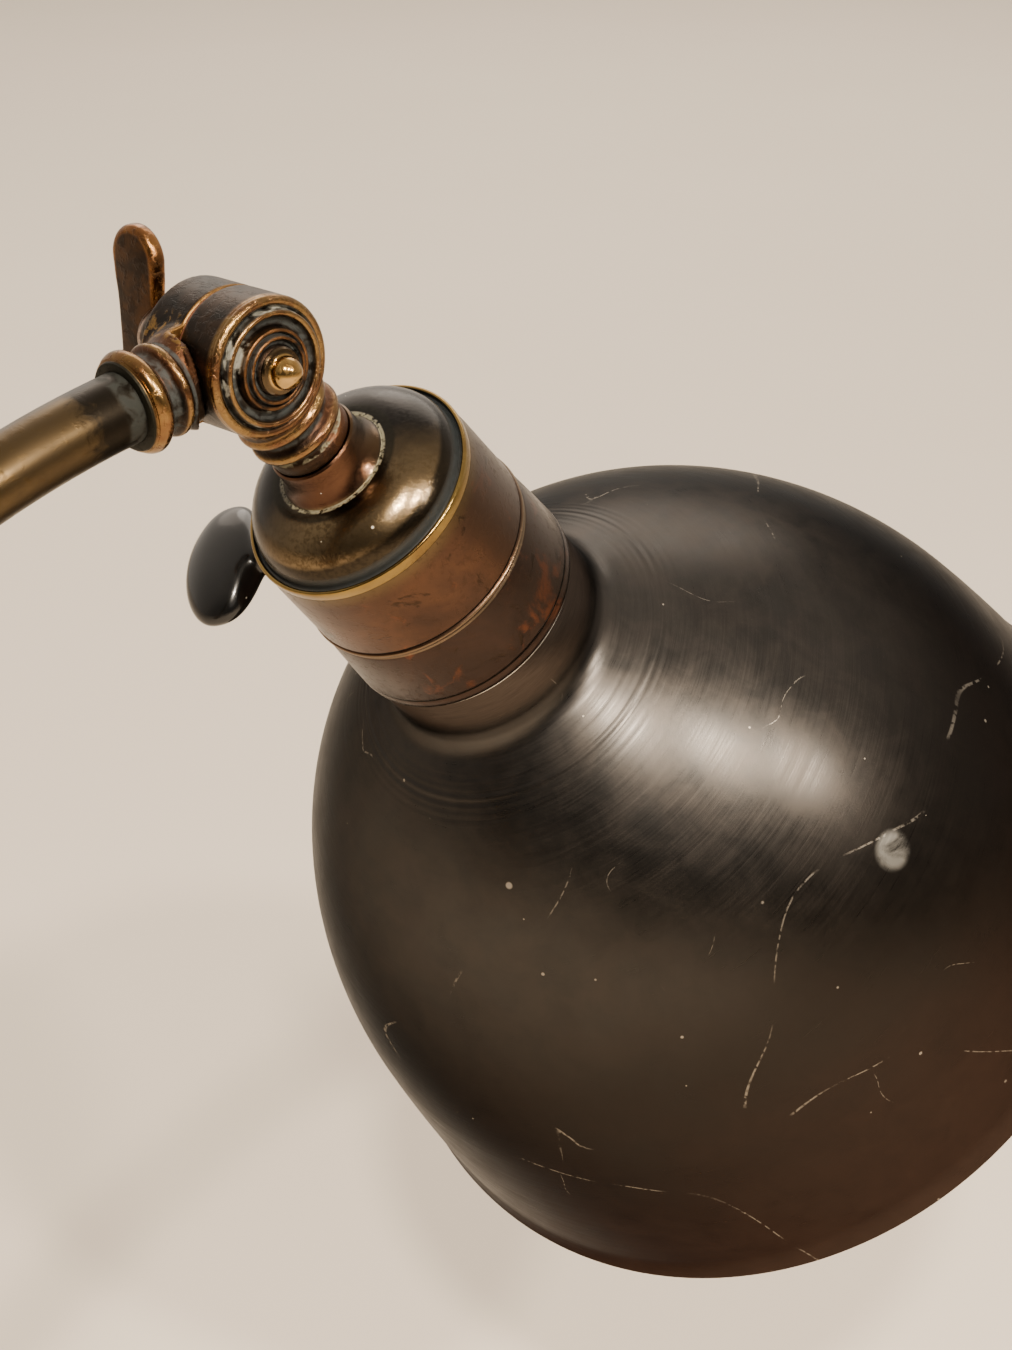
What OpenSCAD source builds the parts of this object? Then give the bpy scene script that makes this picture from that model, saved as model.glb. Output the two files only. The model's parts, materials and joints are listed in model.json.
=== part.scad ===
// Swing arm wall sconce: turned brass wall plate, S-curved tube arm between two
// wing-nut knuckles, key-switch bulb holder and a spun metal dome shade.
// Millimetres. +Y points into the wall, +Z up, the arm reaches out along -Y.
// The origin is the centre of the wall plate's back face.

/* [Wall plate] */
// Diameter of the wall plate
plate_d = 96; // [88:1:130]
// Thickness of the plate's screw flange
plate_flange_t = 6; // [5:0.5:9]
// Depth of the whole plate, from the wall to the top of its hub
plate_deep = 20; // [18:0.5:28]
// Diameter of the wiring recess in the back
recess_d = 48; // [48:1:52]
// Diameter of the circle that the wall screws stand on
screw_pcd = 72; // [70:1:78]
// Number of wall screws
screw_count = 3; // [3:1:4]
// Diameter of a wall screw hole
screw_hole_d = 4.6; // [4:0.1:5.5]
// Distance from the wall to the vertical swing axis
swing_out = 58; // [56:1:90]

/* [Knuckles] */
// Diameter of the knuckle barrels
barrel_d = 21.6; // [20:0.2:26]
// Length of half a barrel along its bolt
barrel_half = 8.5; // [8:0.1:10.5]
// Thickness of a barrel's outer wall
barrel_wall = 3.2; // [2.6:0.1:3.6]
// Gap between the two halves of a barrel
half_gap = 0.6; // [0.4:0.1:1]
// Diameter of the knuckle bolt
bolt_d = 4; // [3:0.5:5]
// Length of a wing nut's thumb plate, tip to tip
wing_span = 33; // [28:1:40]
// Width of the thumb plate, along the bolt
wing_w = 11; // [9:0.5:13]
// Thickness of the thumb plate
wing_t = 2.8; // [2:0.1:3.5]

/* [Arm] */
// Outer diameter of the arm tube
tube_d = 11; // [10:0.2:11.4]
// Wall of the arm tube
tube_wall = 1; // [0.8:0.1:1.4]
// Radius of the bend next to the wall
bend_in_r = 110; // [80:5:150]
// Straight run between the two bends
arm_straight = 30; // [10:5:120]
// Radius of the bend next to the lamp
bend_out_r = 165; // [120:5:220]
// Steepest slope of the arm, in degrees
arm_rise = 50; // [35:1:60]
// Slope of the arm where it meets the lamp, in degrees
arm_end_slope = 9.8; // [0:0.1:20]
// Diameter of the flex inside the arm
flex_d = 3.4; // [2.6:0.1:3.6]

/* [Bulb holder] */
// How far the lamp hangs below level, in degrees
lamp_drop = 48.6; // [30:0.1:80]
// Diameter of the holder where its two shells meet
holder_d = 42; // [42:0.5:52]
// Height of the holder's turned neck
neck_h = 6.3; // [5:0.1:9]
// Height of the holder's dome
dome_h = 7.6; // [6:0.1:12]
// Height of the upper shell, which carries the key
body_h = 19.1; // [18:0.1:26]
// Height of the lower shell
skirt_h = 15.7; // [13:0.1:20]
// Thickness of the pressed brass
shell_t = 0.9; // [0.7:0.1:1.2]
// Direction of the switch key round the holder, in degrees from the wing nut's side
key_turn = 33; // [0:1:90]
// Width of the key's paddle
key_w = 22.5; // [18:0.5:28]
// Reach of the key, from the holder's shell to its tip
key_reach = 18.5; // [16:0.5:24]

/* [Shade and bulb] */
// Diameter of the shade at its rim
shade_d = 167; // [150:1:220]
// Height of the shade, without its neck
shade_h = 115; // [112:1:150]
// Height of the shade's neck
shade_neck_h = 10.2; // [9:0.1:16]
// Thickness of the shade's metal
shade_t = 1; // [0.8:0.1:1.5]
// Diameter of the round bulb
bulb_d = 60; // [45:1:70]
// Length of the bulb, from its contact to its tip
bulb_h = 105; // [95:1:112]

/* [Hidden] */
$fn = 96;

running = 0.06;         // radial clearance of a bolt or spindle that turns
snug = 0.05;            // radial clearance of pieces that are screwed together
seat = 0.05;            // clearance between faces that are clamped together
apart = 0.3;            // clearance between curved faces that move past each other

// Knuckle: every distance is from the knuckle's centre
barrel_r = barrel_d / 2;
chamber_r = barrel_r - barrel_wall;
chamber_deep = barrel_half - 2.5;
bolt_r = bolt_d / 2;
tube_r = tube_d / 2;
flex_r = flex_d / 2;
stem_r = tube_r + 1.4;
bead_at = barrel_r + 2.9;
tube_seat = barrel_r + 2.2;
ferrule_at = barrel_r + 5.7;
stem_len = barrel_r + 9.9;
flex_way_r = flex_r + 0.6;
rosette_top = barrel_half + 2.5;
wing_at = barrel_half + 8;

// Arm: u is the distance out from the wall, v the height
arm_u0 = swing_out + stem_len;
arm_u1 = arm_u0 + bend_in_r * sin(arm_rise);
arm_v1 = bend_in_r * (1 - cos(arm_rise));
arm_u2 = arm_u1 + arm_straight * cos(arm_rise);
arm_v2 = arm_v1 + arm_straight * sin(arm_rise);
arm_u3 = arm_u2 + bend_out_r * (sin(arm_rise) - sin(arm_end_slope));
arm_v3 = arm_v2 + bend_out_r * (cos(arm_end_slope) - cos(arm_rise));
head_u = arm_u3 + stem_len * cos(arm_end_slope);
head_v = arm_v3 + stem_len * sin(arm_end_slope);

// Holder: every height is from the head knuckle's centre, down the lamp's axis
holder_r = holder_d / 2;
nipple_r = 5;
neck_r = nipple_r + 2.5;
neck_at = barrel_r + 11.2;
dome_at = neck_at + neck_h;
body_at = dome_at + dome_h + 1.6;
seam_at = dome_at + dome_h + body_h;
skirt_end = seam_at + skirt_h;
dome_r = holder_r - 1.7;
body_top_r = holder_r - 0.8;
skirt_top_r = holder_r - 0.2;
skirt_end_r = holder_r + 0.9;
key_at = seam_at - 9;
body_bore_r = body_top_r - shell_t;
block_r = dome_r - shell_t - apart;
spigot_r = holder_r - 3.6;
sleeve_r = spigot_r - 1.3;
spindle_r = 2;
shell_r = 14.2;
lamp_cap_r = 13.2;
block_top = body_at + 1.5;
contact_at = seam_at + 4;
bulb_at = contact_at + 2.6;
spigot_end = skirt_end + 8.5;
shell_end = spigot_end + 1;

// Shade
shade_neck_r = holder_r + 0.3;
shade_top = skirt_end + seat;
shade_flare = shade_top + shade_neck_h;
shade_rim = shade_flare + shade_h;

// Points on an arc
function arc(c, r, a0, a1, n) =
    [for (i = [0 : n]) let (a = a0 + (a1 - a0) * i / n) [c[0] + r * cos(a), c[1] + r * sin(a)]];

// An outline moved sideways by d, to the left of its direction
function beside(p, d) = [
    for (i = [0 : len(p) - 1])
        let (a = p[max(i - 1, 0)], b = p[min(i + 1, len(p) - 1)], l = norm(b - a))
        [p[i][0] - d * (b[1] - a[1]) / l, p[i][1] + d * (b[0] - a[0]) / l]
];

// A point turned about the X axis
function turn_x(p, a) = [p[0], p[1] * cos(a) - p[2] * sin(a), p[1] * sin(a) + p[2] * cos(a)];

function turned_round(p) = [for (i = [len(p) - 1 : -1 : 0]) p[i]];

// ---- Places ----

module at_swing() translate([0, -swing_out, 0]) children();

module at_head() translate([0, -head_u, head_v]) children();

// A knuckle half's own frame has its bolt along Z, rosette side up, and its stem along X
module swing_half(toward_wall) at_swing() rotate([0, 0, toward_wall ? 90 : -90]) children();

module head_half_arm() at_head() rotate([-90 - arm_end_slope, 0, 0]) rotate([0, -90, 0]) children();

// The lamp's own frame has its axis along Z, from the knuckle down to the shade
module lamp() at_head() rotate([90 + lamp_drop, 0, 0]) children();

module head_half_lamp() lamp() rotate([0, -90, 0]) children();

// ---- Shared shapes ----

// A solid of revolution about Z from [radius, height] points
module turned(points) rotate_extrude() polygon(points);

module ring(r_in, r_out, z0, z1)
    turned([[r_in, z0], [r_out, z0], [r_out, z1], [r_in, z1]]);

// A round hole or bar from one point to another, run on past the end by its radius
module bar(a, b, r) {
    d = b - a;
    translate(a)
        rotate([0, acos(d[2] / norm(d)), atan2(d[1], d[0])])
            cylinder(r = r, h = norm(d) + r);
}

// A round section swept along a list of points, none of its steps along the vector side
module swept(points, r, sides = 8, side = [1, 0, 0]) {
    last = len(points) - 1;
    rings = [
        for (i = [0 : last])
            let (d = points[min(i + 1, last)] - points[max(i - 1, 0)],
                 u = cross(d, side) / norm(cross(d, side)),
                 v = cross(d, u) / norm(d))
            for (k = [0 : sides - 1])
                points[i] + r * (cos(360 * k / sides) * u + sin(360 * k / sides) * v)
    ];
    polyhedron(rings, concat(
        [[for (k = [0 : sides - 1]) k]],
        [for (i = [0 : last - 1]) for (k = [0 : sides - 1])
            let (n = (k + 1) % sides)
            [i * sides + k, (i + 1) * sides + k, (i + 1) * sides + n, i * sides + n]],
        [[for (k = [sides - 1 : -1 : 0]) last * sides + k]]
    ));
}

// The arm's centre line through both bends, as steps from the swing knuckle to the head knuckle
function arm_line(steps) = concat(
    [for (i = [0 : steps]) let (a = arm_rise * i / steps)
        [0, -arm_u0 - bend_in_r * sin(a), bend_in_r * (1 - cos(a))]],
    [for (i = [0 : steps]) let (a = arm_rise - (arm_rise - arm_end_slope) * i / steps)
        [0, -arm_u2 - bend_out_r * (sin(arm_rise) - sin(a)),
         arm_v2 + bend_out_r * (cos(a) - cos(arm_rise))]]
);

// The same line with a straight run of each knuckle's stem, which starts at a distance from its centre
function arm_run(from, steps) = concat(
    [[0, -swing_out - from, 0]],
    arm_line(steps),
    [[0, -head_u + from * cos(arm_end_slope), head_v - from * sin(arm_end_slope)]]
);

// ---- Knuckle pieces, in a knuckle half's own frame ----

// Stem of a half that takes a tube: a plain neck and one bead, along Z
module tube_stem() {
    turned(concat(
        [[0, chamber_r - 1.6], [stem_r + 1, chamber_r - 1.6], [stem_r + 1, barrel_r - 0.8],
         [stem_r, barrel_r + 0.8]],
        arc([stem_r - 0.5, bead_at], 0.95, -60, 60, 8),
        [[stem_r - 0.7, bead_at + 1.3], [stem_r - 0.7, ferrule_at], [0, ferrule_at]]
    ));
}

// Stem of the half that carries the lamp: two turned rings and a cove, along Z
module ringed_stem() {
    turned(concat(
        [[0, chamber_r - 1.6], [stem_r + 1, chamber_r - 1.6]],
        arc([stem_r + 0.3, barrel_r + 2.3], 0.9, -90, 70, 8),
        [[stem_r - 0.1, barrel_r + 3.7], [stem_r - 0.1, barrel_r + 4.9]],
        arc([stem_r + 0.3, barrel_r + 6.3], 0.9, -70, 80, 8),
        [[stem_r - 0.5, barrel_r + 7.9], [stem_r - 0.8, barrel_r + 9], [stem_r - 0.3, neck_at - seat],
         [0, neck_at - seat]]
    ));
}

// Flex route from the chamber beside the bolt into the middle of the stem
function flex_entry() = [
    [0, chamber_r - flex_r - 0.4, chamber_deep - flex_r - 0.2],
    [chamber_r - flex_r - 1, 2, chamber_deep - flex_r - 0.2],
    [barrel_r + 7, 0, 0]
];

// Half a hollow barrel with its stem; the other half turns against its open face
module half_barrel(seat_r, seat_at) {
    difference() {
        union() {
            translate([0, 0, half_gap / 2])
                cylinder(r = barrel_r, h = barrel_half - half_gap / 2);
            difference() {
                rotate([0, 90, 0]) children();
                translate([0, 0, -2 * barrel_r])
                    cylinder(r = barrel_r + apart, h = 2 * barrel_r + half_gap / 2);
            }
        }
        translate([0, 0, -1]) cylinder(r = chamber_r, h = chamber_deep + 1);
        cylinder(r = bolt_r + running, h = 4 * barrel_half, center = true);
        bar(flex_entry()[1], flex_entry()[2], flex_way_r);
        bar([barrel_r + 3.6, 0, 0], [neck_at, 0, 0], flex_way_r + 0.3);
        translate([seat_at, 0, 0]) rotate([0, 90, 0]) cylinder(r = seat_r + snug, h = stem_len);
    }
}

// Turned face of a rosette: rim, two ridges and a middle boss, standing on the barrel's end
module rosette() {
    ridge_r = barrel_r - 2.3;
    inner_r = barrel_r - 5.8;
    difference() {
        turned([
            [0, chamber_deep], [barrel_r - 0.01, chamber_deep], [barrel_r - 0.01, barrel_half],
            [barrel_r - 0.4, barrel_half + 0.3], [ridge_r + 1.3, barrel_half + 0.3],
            [ridge_r + 0.8, barrel_half + 0.2], [ridge_r + 0.3, barrel_half + 1.6],
            [ridge_r - 0.3, barrel_half + 1.7], [ridge_r - 1.1, barrel_half + 1],
            [inner_r + 0.9, barrel_half + 1.1], [inner_r + 0.3, barrel_half + 2.2],
            [inner_r - 0.3, barrel_half + 2.3], [inner_r - 0.9, barrel_half + 1.9],
            [bolt_r + 1.2, rosette_top], [0, rosette_top]
        ]);
        cylinder(r = bolt_r + running, h = 4 * barrel_half, center = true);
    }
}

// Bolt with a domed button head, from the rosette through to the wing nut
module knuckle_bolt() {
    turned(concat(
        [[0, -barrel_half - 11], [bolt_r, -barrel_half - 11], [bolt_r, rosette_top + seat],
         [bolt_r + 1, rosette_top + seat]],
        arc([0, rosette_top + 1.3], bolt_r + 0.9, -15, 90, 12)
    ));
}

module friction_washer() ring(chamber_r + 0.2, barrel_r - 0.4, -half_gap / 2, half_gap / 2 - 0.1);

// Wing nut: turned hub and one flat thumb plate with round ends, standing on its edge
module wing_nut() {
    end_r = wing_w / 2;
    difference() {
        union() {
            turned([[0, -barrel_half - apart], [5.5, -barrel_half - apart], [5.5, -wing_at + 1],
                    [4.2, -wing_at - 3], [0, -wing_at - 3]]);
            translate([0, 0, -wing_at - end_r]) rotate([90, 0, 0])
                linear_extrude(wing_t, center = true) {
                    square([wing_span - wing_w, wing_w], center = true);
                    for (s = [-1, 1])
                        translate([s * (wing_span - wing_w) / 2, 0]) circle(r = end_r);
                }
        }
        translate([0, 0, -wing_at - 3.5]) cylinder(r = bolt_r + running, h = 3 * barrel_half);
    }
}

// Turned ferrule over the end of a tube
module ferrule() {
    turned(concat(
        [[tube_r + snug, ferrule_at + seat], [stem_r - 0.4, ferrule_at + seat]],
        arc([stem_r - 0.5, ferrule_at + 2], 1.5, -60, 75, 10),
        [[stem_r - 0.7, stem_len], [tube_r + snug, stem_len]]
    ));
}

// ---- Wall bracket ----

module wall_plate() color("#6b4a22") rotate([90, 0, 0]) {
    plate_r = plate_d / 2;
    recess_r = recess_d / 2;
    hub_r = nipple_r + 4.5;
    riser = plate_flange_t + 1.5;
    dome_foot_r = screw_pcd / 2 - 6;
    floor_at = plate_deep - 5;
    difference() {
        turned(concat(
            [[0, 0], [plate_r, 0]],
            arc([plate_r - 2.5, plate_flange_t - 2.5], 2.5, 0, 90, 8),
            [[dome_foot_r, plate_flange_t]],
            [for (a = [0 : 7.5 : 90])
                [hub_r + 1.5 + (dome_foot_r - hub_r - 1.5) * cos(a),
                 riser + (plate_deep - 2 - riser) * sin(a)]],
            [[hub_r, plate_deep - 2], [hub_r, plate_deep - 0.8], [hub_r - 0.8, plate_deep],
             [0, plate_deep]]
        ));
        difference() {
            turned(concat(
                [[0, -1], [recess_r, -1], [recess_r, plate_flange_t]],
                [for (a = [7.5 : 7.5 : 90])
                    [8 + (recess_r - 8) * cos(a), plate_flange_t + (floor_at - plate_flange_t) * sin(a)]],
                [[0, floor_at]]
            ));
            translate([0, 15, floor_at - 5]) cylinder(r = 4.5, h = 6);
        }
        cylinder(r = nipple_r + snug, h = plate_deep + 1);
        translate([0, 15, 0]) cylinder(r = 2 + snug, h = floor_at - 0.5);
        for (i = [0 : screw_count - 1])
            rotate([0, 0, 90 + i * 360 / screw_count]) translate([screw_pcd / 2, 0, -1]) {
                cylinder(r = screw_hole_d / 2, h = plate_flange_t + 2);
                translate([0, 0, plate_flange_t - 1.1])
                    cylinder(r1 = screw_hole_d / 2, r2 = screw_hole_d / 2 + 2.2, h = 2.2);
            }
    }
}

module stem_locknut() color("#9c7a3c") rotate([90, 0, 0])
    translate([0, 0, plate_deep - 5 - 4 - seat]) difference() {
        cylinder(r = 7.5, h = 4, $fn = 6);
        translate([0, 0, -1]) cylinder(r = nipple_r + snug, h = 6);
    }

// Two-way block in the recess, its screws facing the wall
block_z = -16;
module terminal_block() color("#e8e2d2") difference() {
    translate([-9, -8.5, block_z - 4.5]) cube([18, 7, 9]);
    for (s = [-1, 1]) {
        translate([s * 4.5, 0, block_z]) rotate([90, 0, 0]) cylinder(r = 2.2, h = 5);
        translate([s * 4.5, 0, block_z]) rotate([90, 0, 0]) cylinder(r = 1.55, h = 7.6);
        translate([s * 4.5, -6.2, block_z - 6]) cylinder(r = 1.5, h = 12);
    }
}

module terminal_screws() color("#b8923f")
    for (s = [-1, 1])
        translate([s * 4.5, -2.2, block_z]) rotate([90, 0, 0]) difference() {
            union() {
                cylinder(r = 2.1, h = 1.6);
                cylinder(r = 1.5, h = 3.4);
            }
            translate([-3, -0.3, -1]) cube([6, 0.6, 1.6]);
        }

module earth_screw() color("#b8923f") rotate([90, 0, 0])
    translate([0, 15, plate_deep - 10]) difference() {
        union() {
            translate([0, 0, -2.4 - seat]) cylinder(r = 3.4, h = 2.4);
            translate([0, 0, -1]) cylinder(r = 2, h = 4.8);
        }
        translate([-4, -0.4, -3.5]) cube([8, 0.8, 1.9]);
    }

module bracket_tube() color("#7a5a2a") rotate([90, 0, 0])
    turned([
        [nipple_r - 1.6, plate_deep - 12], [nipple_r, plate_deep - 12],
        [nipple_r, plate_deep + seat], [tube_r, plate_deep + seat],
        [tube_r, swing_out - tube_seat - seat], [nipple_r - 1.6, swing_out - tube_seat - seat]
    ]);

module bracket_ferrule() color("#a5743a") swing_half(true) rotate([0, 90, 0]) ferrule();

module fixed_barrel() color("#2e241b") swing_half(true) mirror([0, 0, 1])
    half_barrel(tube_r, tube_seat) tube_stem();

module swing_bolt() color("#a58a4c") at_swing() knuckle_bolt();

module swing_washer() color("#4a3a2a") at_swing() friction_washer();

// From the terminal block, up the tube and into the fixed half's chamber
module bracket_lead() color("#3c3a38") swept(concat(
    [[0, -4.5, block_z + 5], [0, -4, block_z + 8], [0, -3.8, -5], [0, -5, -1.6], [0, -8, 0],
     [0, -plate_deep, 0]],
    [for (p = turned_round(flex_entry())) [-p[1], p[0] - swing_out, -p[2]]]
), flex_r);

module swing_wing_nut() color("#6a4524") at_swing() wing_nut();

// ---- Arm ----

module arm_base_barrel() color("#2e241b") swing_half(false) {
    half_barrel(tube_r, tube_seat) tube_stem();
    rosette();
}

module arm_base_ferrule() color("#a5743a") swing_half(false) rotate([0, 90, 0]) ferrule();

module arm_tube() color("#6e5a30") difference() {
    swept(arm_run(tube_seat + seat, 14), tube_r, 32);
    swept(arm_run(tube_seat - 1, 14), tube_r - tube_wall, 32);
}

// From the swing knuckle's chamber, through the tube, into the head knuckle's chamber
module arm_lead() color("#3c3a38") swept(concat(
    [for (p = flex_entry()) [p[1], -swing_out - p[0], p[2]]],
    arm_line(8),
    [for (p = turned_round(flex_entry()))
        turn_x([p[2], p[1], p[0]], -90 - arm_end_slope) + [0, -head_u, head_v]]
), flex_r);

module arm_head_ferrule() color("#a5743a") head_half_arm() rotate([0, 90, 0]) ferrule();

module arm_head_barrel() color("#2e241b") head_half_arm() mirror([0, 0, 1])
    half_barrel(tube_r, tube_seat) tube_stem();

module head_bolt() color("#a58a4c") head_half_arm() knuckle_bolt();

module head_washer() color("#4a3a2a") head_half_arm() friction_washer();

module head_wing_nut() color("#6a4524") at_head() rotate([0, -90, 0]) wing_nut();

// ---- Lamp head ----

module lamp_barrel() color("#2e241b") head_half_lamp() {
    half_barrel(nipple_r, barrel_r + 5.2) ringed_stem();
    rosette();
}

module lamp_nipple() color("#9c7a3c") lamp()
    ring(nipple_r - 1.9, nipple_r, barrel_r + 5.3, dome_at + 3);

// Dome of the holder, its outline drawn in by t
module cap_outline(t) {
    polygon(concat(
        [[0, neck_at + t], [neck_r, neck_at + t], [neck_r + 1.4 - t, dome_at - 0.3 + t]],
        [for (a = [0 : 7.5 : 90])
            [neck_r + 1.8 - t + (dome_r - neck_r - 1.8) * sin(a),
             dome_at + dome_h + t - (dome_h - 0.2) * cos(a)]],
        t > 0 ? [[dome_r - t, body_at + 3.5], [0, body_at + 3.5]]
              : [[body_top_r, dome_at + dome_h + 0.2], [body_top_r, body_at],
                 [body_bore_r - snug, body_at], [body_bore_r - snug, body_at + 2.5],
                 [0, body_at + 2.5]]
    ));
}

module holder_cap() color("#332a1a") lamp() difference() {
    rotate_extrude() cap_outline(0);
    difference() {
        rotate_extrude() cap_outline(shell_t);
        translate([0, 0, neck_at]) cylinder(r = neck_r - 0.2, h = neck_h + 0.6);
    }
    translate([0, 0, neck_at - 1]) cylinder(r = nipple_r + snug, h = neck_h + 4);
}

module key_frame() lamp() translate([0, 0, key_at]) rotate([0, 0, -key_turn]) rotate([0, 90, 0])
    children();

// Upper shell, with the bush that the key's spindle turns in
module holder_body() color("#6b4424") difference() {
    union() {
        lamp() turned([
            [body_bore_r, body_at + seat], [body_top_r, body_at + seat],
            [holder_r - 0.1, seam_at - 0.9], [holder_r, seam_at - 0.7], [holder_r, seam_at],
            [body_bore_r, seam_at]
        ]);
        key_frame() translate([0, 0, body_top_r - 0.6]) cylinder(r = 4, h = 2);
    }
    key_frame() cylinder(r = spindle_r + running, h = 2 * holder_r);
}

module holder_skirt() color("#6a4028") lamp() turned([
    [body_bore_r, seam_at + seat], [skirt_top_r, seam_at + seat], [skirt_end_r, skirt_end - 0.8],
    [skirt_end_r, skirt_end], [spigot_r, skirt_end], [spigot_r, spigot_end],
    [sleeve_r + 0.2, spigot_end], [sleeve_r + 0.2, skirt_end - 1.2],
    [skirt_end_r - 1.5, skirt_end - 1.2], [skirt_top_r - shell_t - 0.4, seam_at + 1.5],
    [body_bore_r, seam_at + 1.5]
]);

module switch_block() color("#e6dfd0") lamp() difference() {
    union() {
        translate([0, 0, block_top]) cylinder(r = block_r, h = seam_at - 0.5 - block_top);
        translate([0, 0, seam_at - 1]) cylinder(r = sleeve_r, h = shell_end + 1 - seam_at);
    }
    translate([0, 0, contact_at]) cylinder(r = shell_r + 0.2, h = shell_end);
    translate([0, 0, block_top - 1]) cylinder(r = flex_r + 1, h = 4);
    for (s = [-1, 1])
        translate([0, s * 10, block_top - 1]) cylinder(r = 1.45, h = 8);
    translate([0, 0, key_at]) rotate([0, 0, -key_turn]) rotate([0, 90, 0])
        translate([0, 0, 3.4]) cylinder(r = 5.6, h = holder_r);
}

module contact_screws() color("#b8923f") lamp()
    for (s = [-1, 1])
        translate([0, s * 10, block_top]) difference() {
            union() {
                translate([0, 0, -1.6]) cylinder(r = 2.4, h = 1.6 - seat);
                translate([0, 0, -0.5]) cylinder(r = 1.4, h = 6.5);
            }
            translate([-3, -0.3, -2.4]) cube([6, 0.6, 1.4]);
        }

module screw_shell() color("#c9a24e") lamp() turned([
    [5, contact_at + 1.6], [shell_r, contact_at + 1.6], [shell_r, shell_end - 0.5],
    [shell_r - 0.45, shell_end - 0.5], [shell_r - 0.45, contact_at + 2.1], [5, contact_at + 2.1]
]);

module centre_contact() color("#c9a24e") lamp() {
    translate([0, 0, contact_at]) cylinder(r = 3.6, h = 1);
    translate([0, 0, contact_at + 0.5]) cylinder(r = 1.6, h = 2);
}

// From the head knuckle's chamber to the holder, where its two cores part to their screws
module head_lead() color("#3c3a38") lamp() {
    swept(concat(
        [for (p = flex_entry()) [-p[2], p[1], p[0]]],
        [[0, 0, neck_at], [0, 0, block_top - 3.4]]
    ), flex_r);
    for (s = [-1, 1])
        swept([[0, s, block_top - 3.3], [0, s * 2.6, block_top - 1.8], [0, s * 4.5, block_top - 1],
               [0, s * 7.4, block_top - 1]], 0.7);
}

// ---- Switch ----

module switch_spindle() color("#b8923f") key_frame() {
    translate([0, 0, 3.9]) cylinder(r = spindle_r, h = holder_r + 5.5);
    translate([-3.2, -3.2, 4.2]) cube([6.4, 6.4, 7]);
}

module switch_key() color("#0c0c0d") key_frame() {
    foot = holder_r + 2;
    tip = holder_r + key_reach;
    paddle_r = 2.5;
    difference() {
        union() {
            translate([0, 0, foot]) cylinder(r1 = 3.1, r2 = 3.6, h = 6);
            hull() {
                translate([0, 0, foot + 5]) sphere(r = 2.8, $fn = 32);
                for (s = [-1, 1]) {
                    translate([0, s * (key_w / 2 - 5), tip - 8]) rotate([0, 90, 0])
                        cylinder(r = 5, h = 3, center = true, $fn = 32);
                    translate([0, s * (key_w / 2 - 8), tip - 5]) rotate([0, 90, 0])
                        cylinder(r = 5, h = 3, center = true, $fn = 32);
                }
                translate([0, 0, tip - 7]) sphere(r = paddle_r, $fn = 32);
            }
        }
        translate([0, 0, foot - 1]) cylinder(r = spindle_r + snug, h = 9);
    }
}

// ---- Shade and bulb ----

module shade_ring() color("#8a6a34") lamp()
    ring(spigot_r + snug, shade_neck_r - shade_t - apart, shade_top + shade_t + seat, spigot_end - 2);

// The dome's outline in its drawn proportions: a hollow flare, a shoulder and a long flank
drawn_h = 115;
drawn_w = 62.2;
shoulder_r = 109.2;
flank_r = 470;
flare_r = 6;
rim_turn = 97.3;
flank_turn = 101.95;
flank_c = [-flank_r * cos(rim_turn), drawn_w - flank_r * sin(rim_turn)];
shoulder_c = flank_c + (flank_r - shoulder_r) * [cos(flank_turn), sin(flank_turn)];
flare_turn = asin((flare_r - shoulder_c[1]) / (shoulder_r + flare_r));
flare_c = [shoulder_c[0] - (shoulder_r + flare_r) * cos(flare_turn), flare_r];
drawn_dome = concat(
    arc(flare_c, flare_r, -90, -flare_turn, 8),
    arc(shoulder_c, shoulder_r, 180 - flare_turn - 1, flank_turn, 22),
    arc(flank_c, flank_r, flank_turn - 0.5, rim_turn, 6)
);
dome_line = [
    for (p = drawn_dome)
        [shade_neck_r + p[1] * (shade_d / 2 - shade_neck_r) / drawn_w,
         shade_rim + p[0] * shade_h / drawn_h]
];

module shade() color("#1c1917") lamp() {
    line = concat([[shade_neck_r, shade_top]], dome_line);
    rotate_extrude() {
        polygon(concat(line, turned_round(beside(line, shade_t))));
        translate([spigot_r + snug, shade_top])
            square([shade_neck_r - spigot_r - snug - 0.2, shade_t]);
        translate([shade_d / 2 - 0.2, shade_rim]) circle(r = 1.2, $fn = 24);
    }
}

bulb_r = bulb_d / 2;
bulb_tip = bulb_at + bulb_h;
bulb_c = bulb_tip - bulb_r;
glass_at = bulb_at + 24.5;
glass_bend = 35;
glass_t = 0.8;
glass_turn = acos((lamp_cap_r - 0.3 + glass_bend) / (bulb_r + glass_bend));
glass_bend_at = bulb_c - (bulb_r + glass_bend) * sin(glass_turn);
glass_line = concat(
    [[lamp_cap_r - 0.3, glass_at]],
    arc([lamp_cap_r - 0.3 + glass_bend, glass_bend_at], glass_bend, 180, 180 - glass_turn, 8),
    arc([0, bulb_c], bulb_r, 2 - glass_turn, 88, 24)
);

module bulb_cap() color("#c4c0b4") lamp() turned(concat(
    [[0, bulb_at], [4, bulb_at], [4.6, bulb_at + 0.8], [9.5, bulb_at + 3.4], [12, bulb_at + 4.4]],
    [for (i = [0 : 12]) [lamp_cap_r - 0.35 + 0.35 * cos(180 * i), bulb_at + 5.5 + 1.2 * i]],
    [[lamp_cap_r - 0.3, glass_at - seat], [lamp_cap_r - 1.2, glass_at - seat],
     [lamp_cap_r - 1.2, bulb_at + 6], [0, bulb_at + 6]]
));

module bulb_glass() color("#f4efe2") lamp() turned(concat(
    glass_line, [[0, bulb_tip], [0, bulb_tip - glass_t]], turned_round(beside(glass_line, glass_t))
));

module bulb_mount() color("#dcdcd4") lamp() turned([
    [0, glass_at - 4], [5.5, glass_at - 4], [4.2, glass_at + 6], [2.2, glass_at + 14],
    [2.2, glass_at + 26], [0, glass_at + 26]
]);

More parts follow.
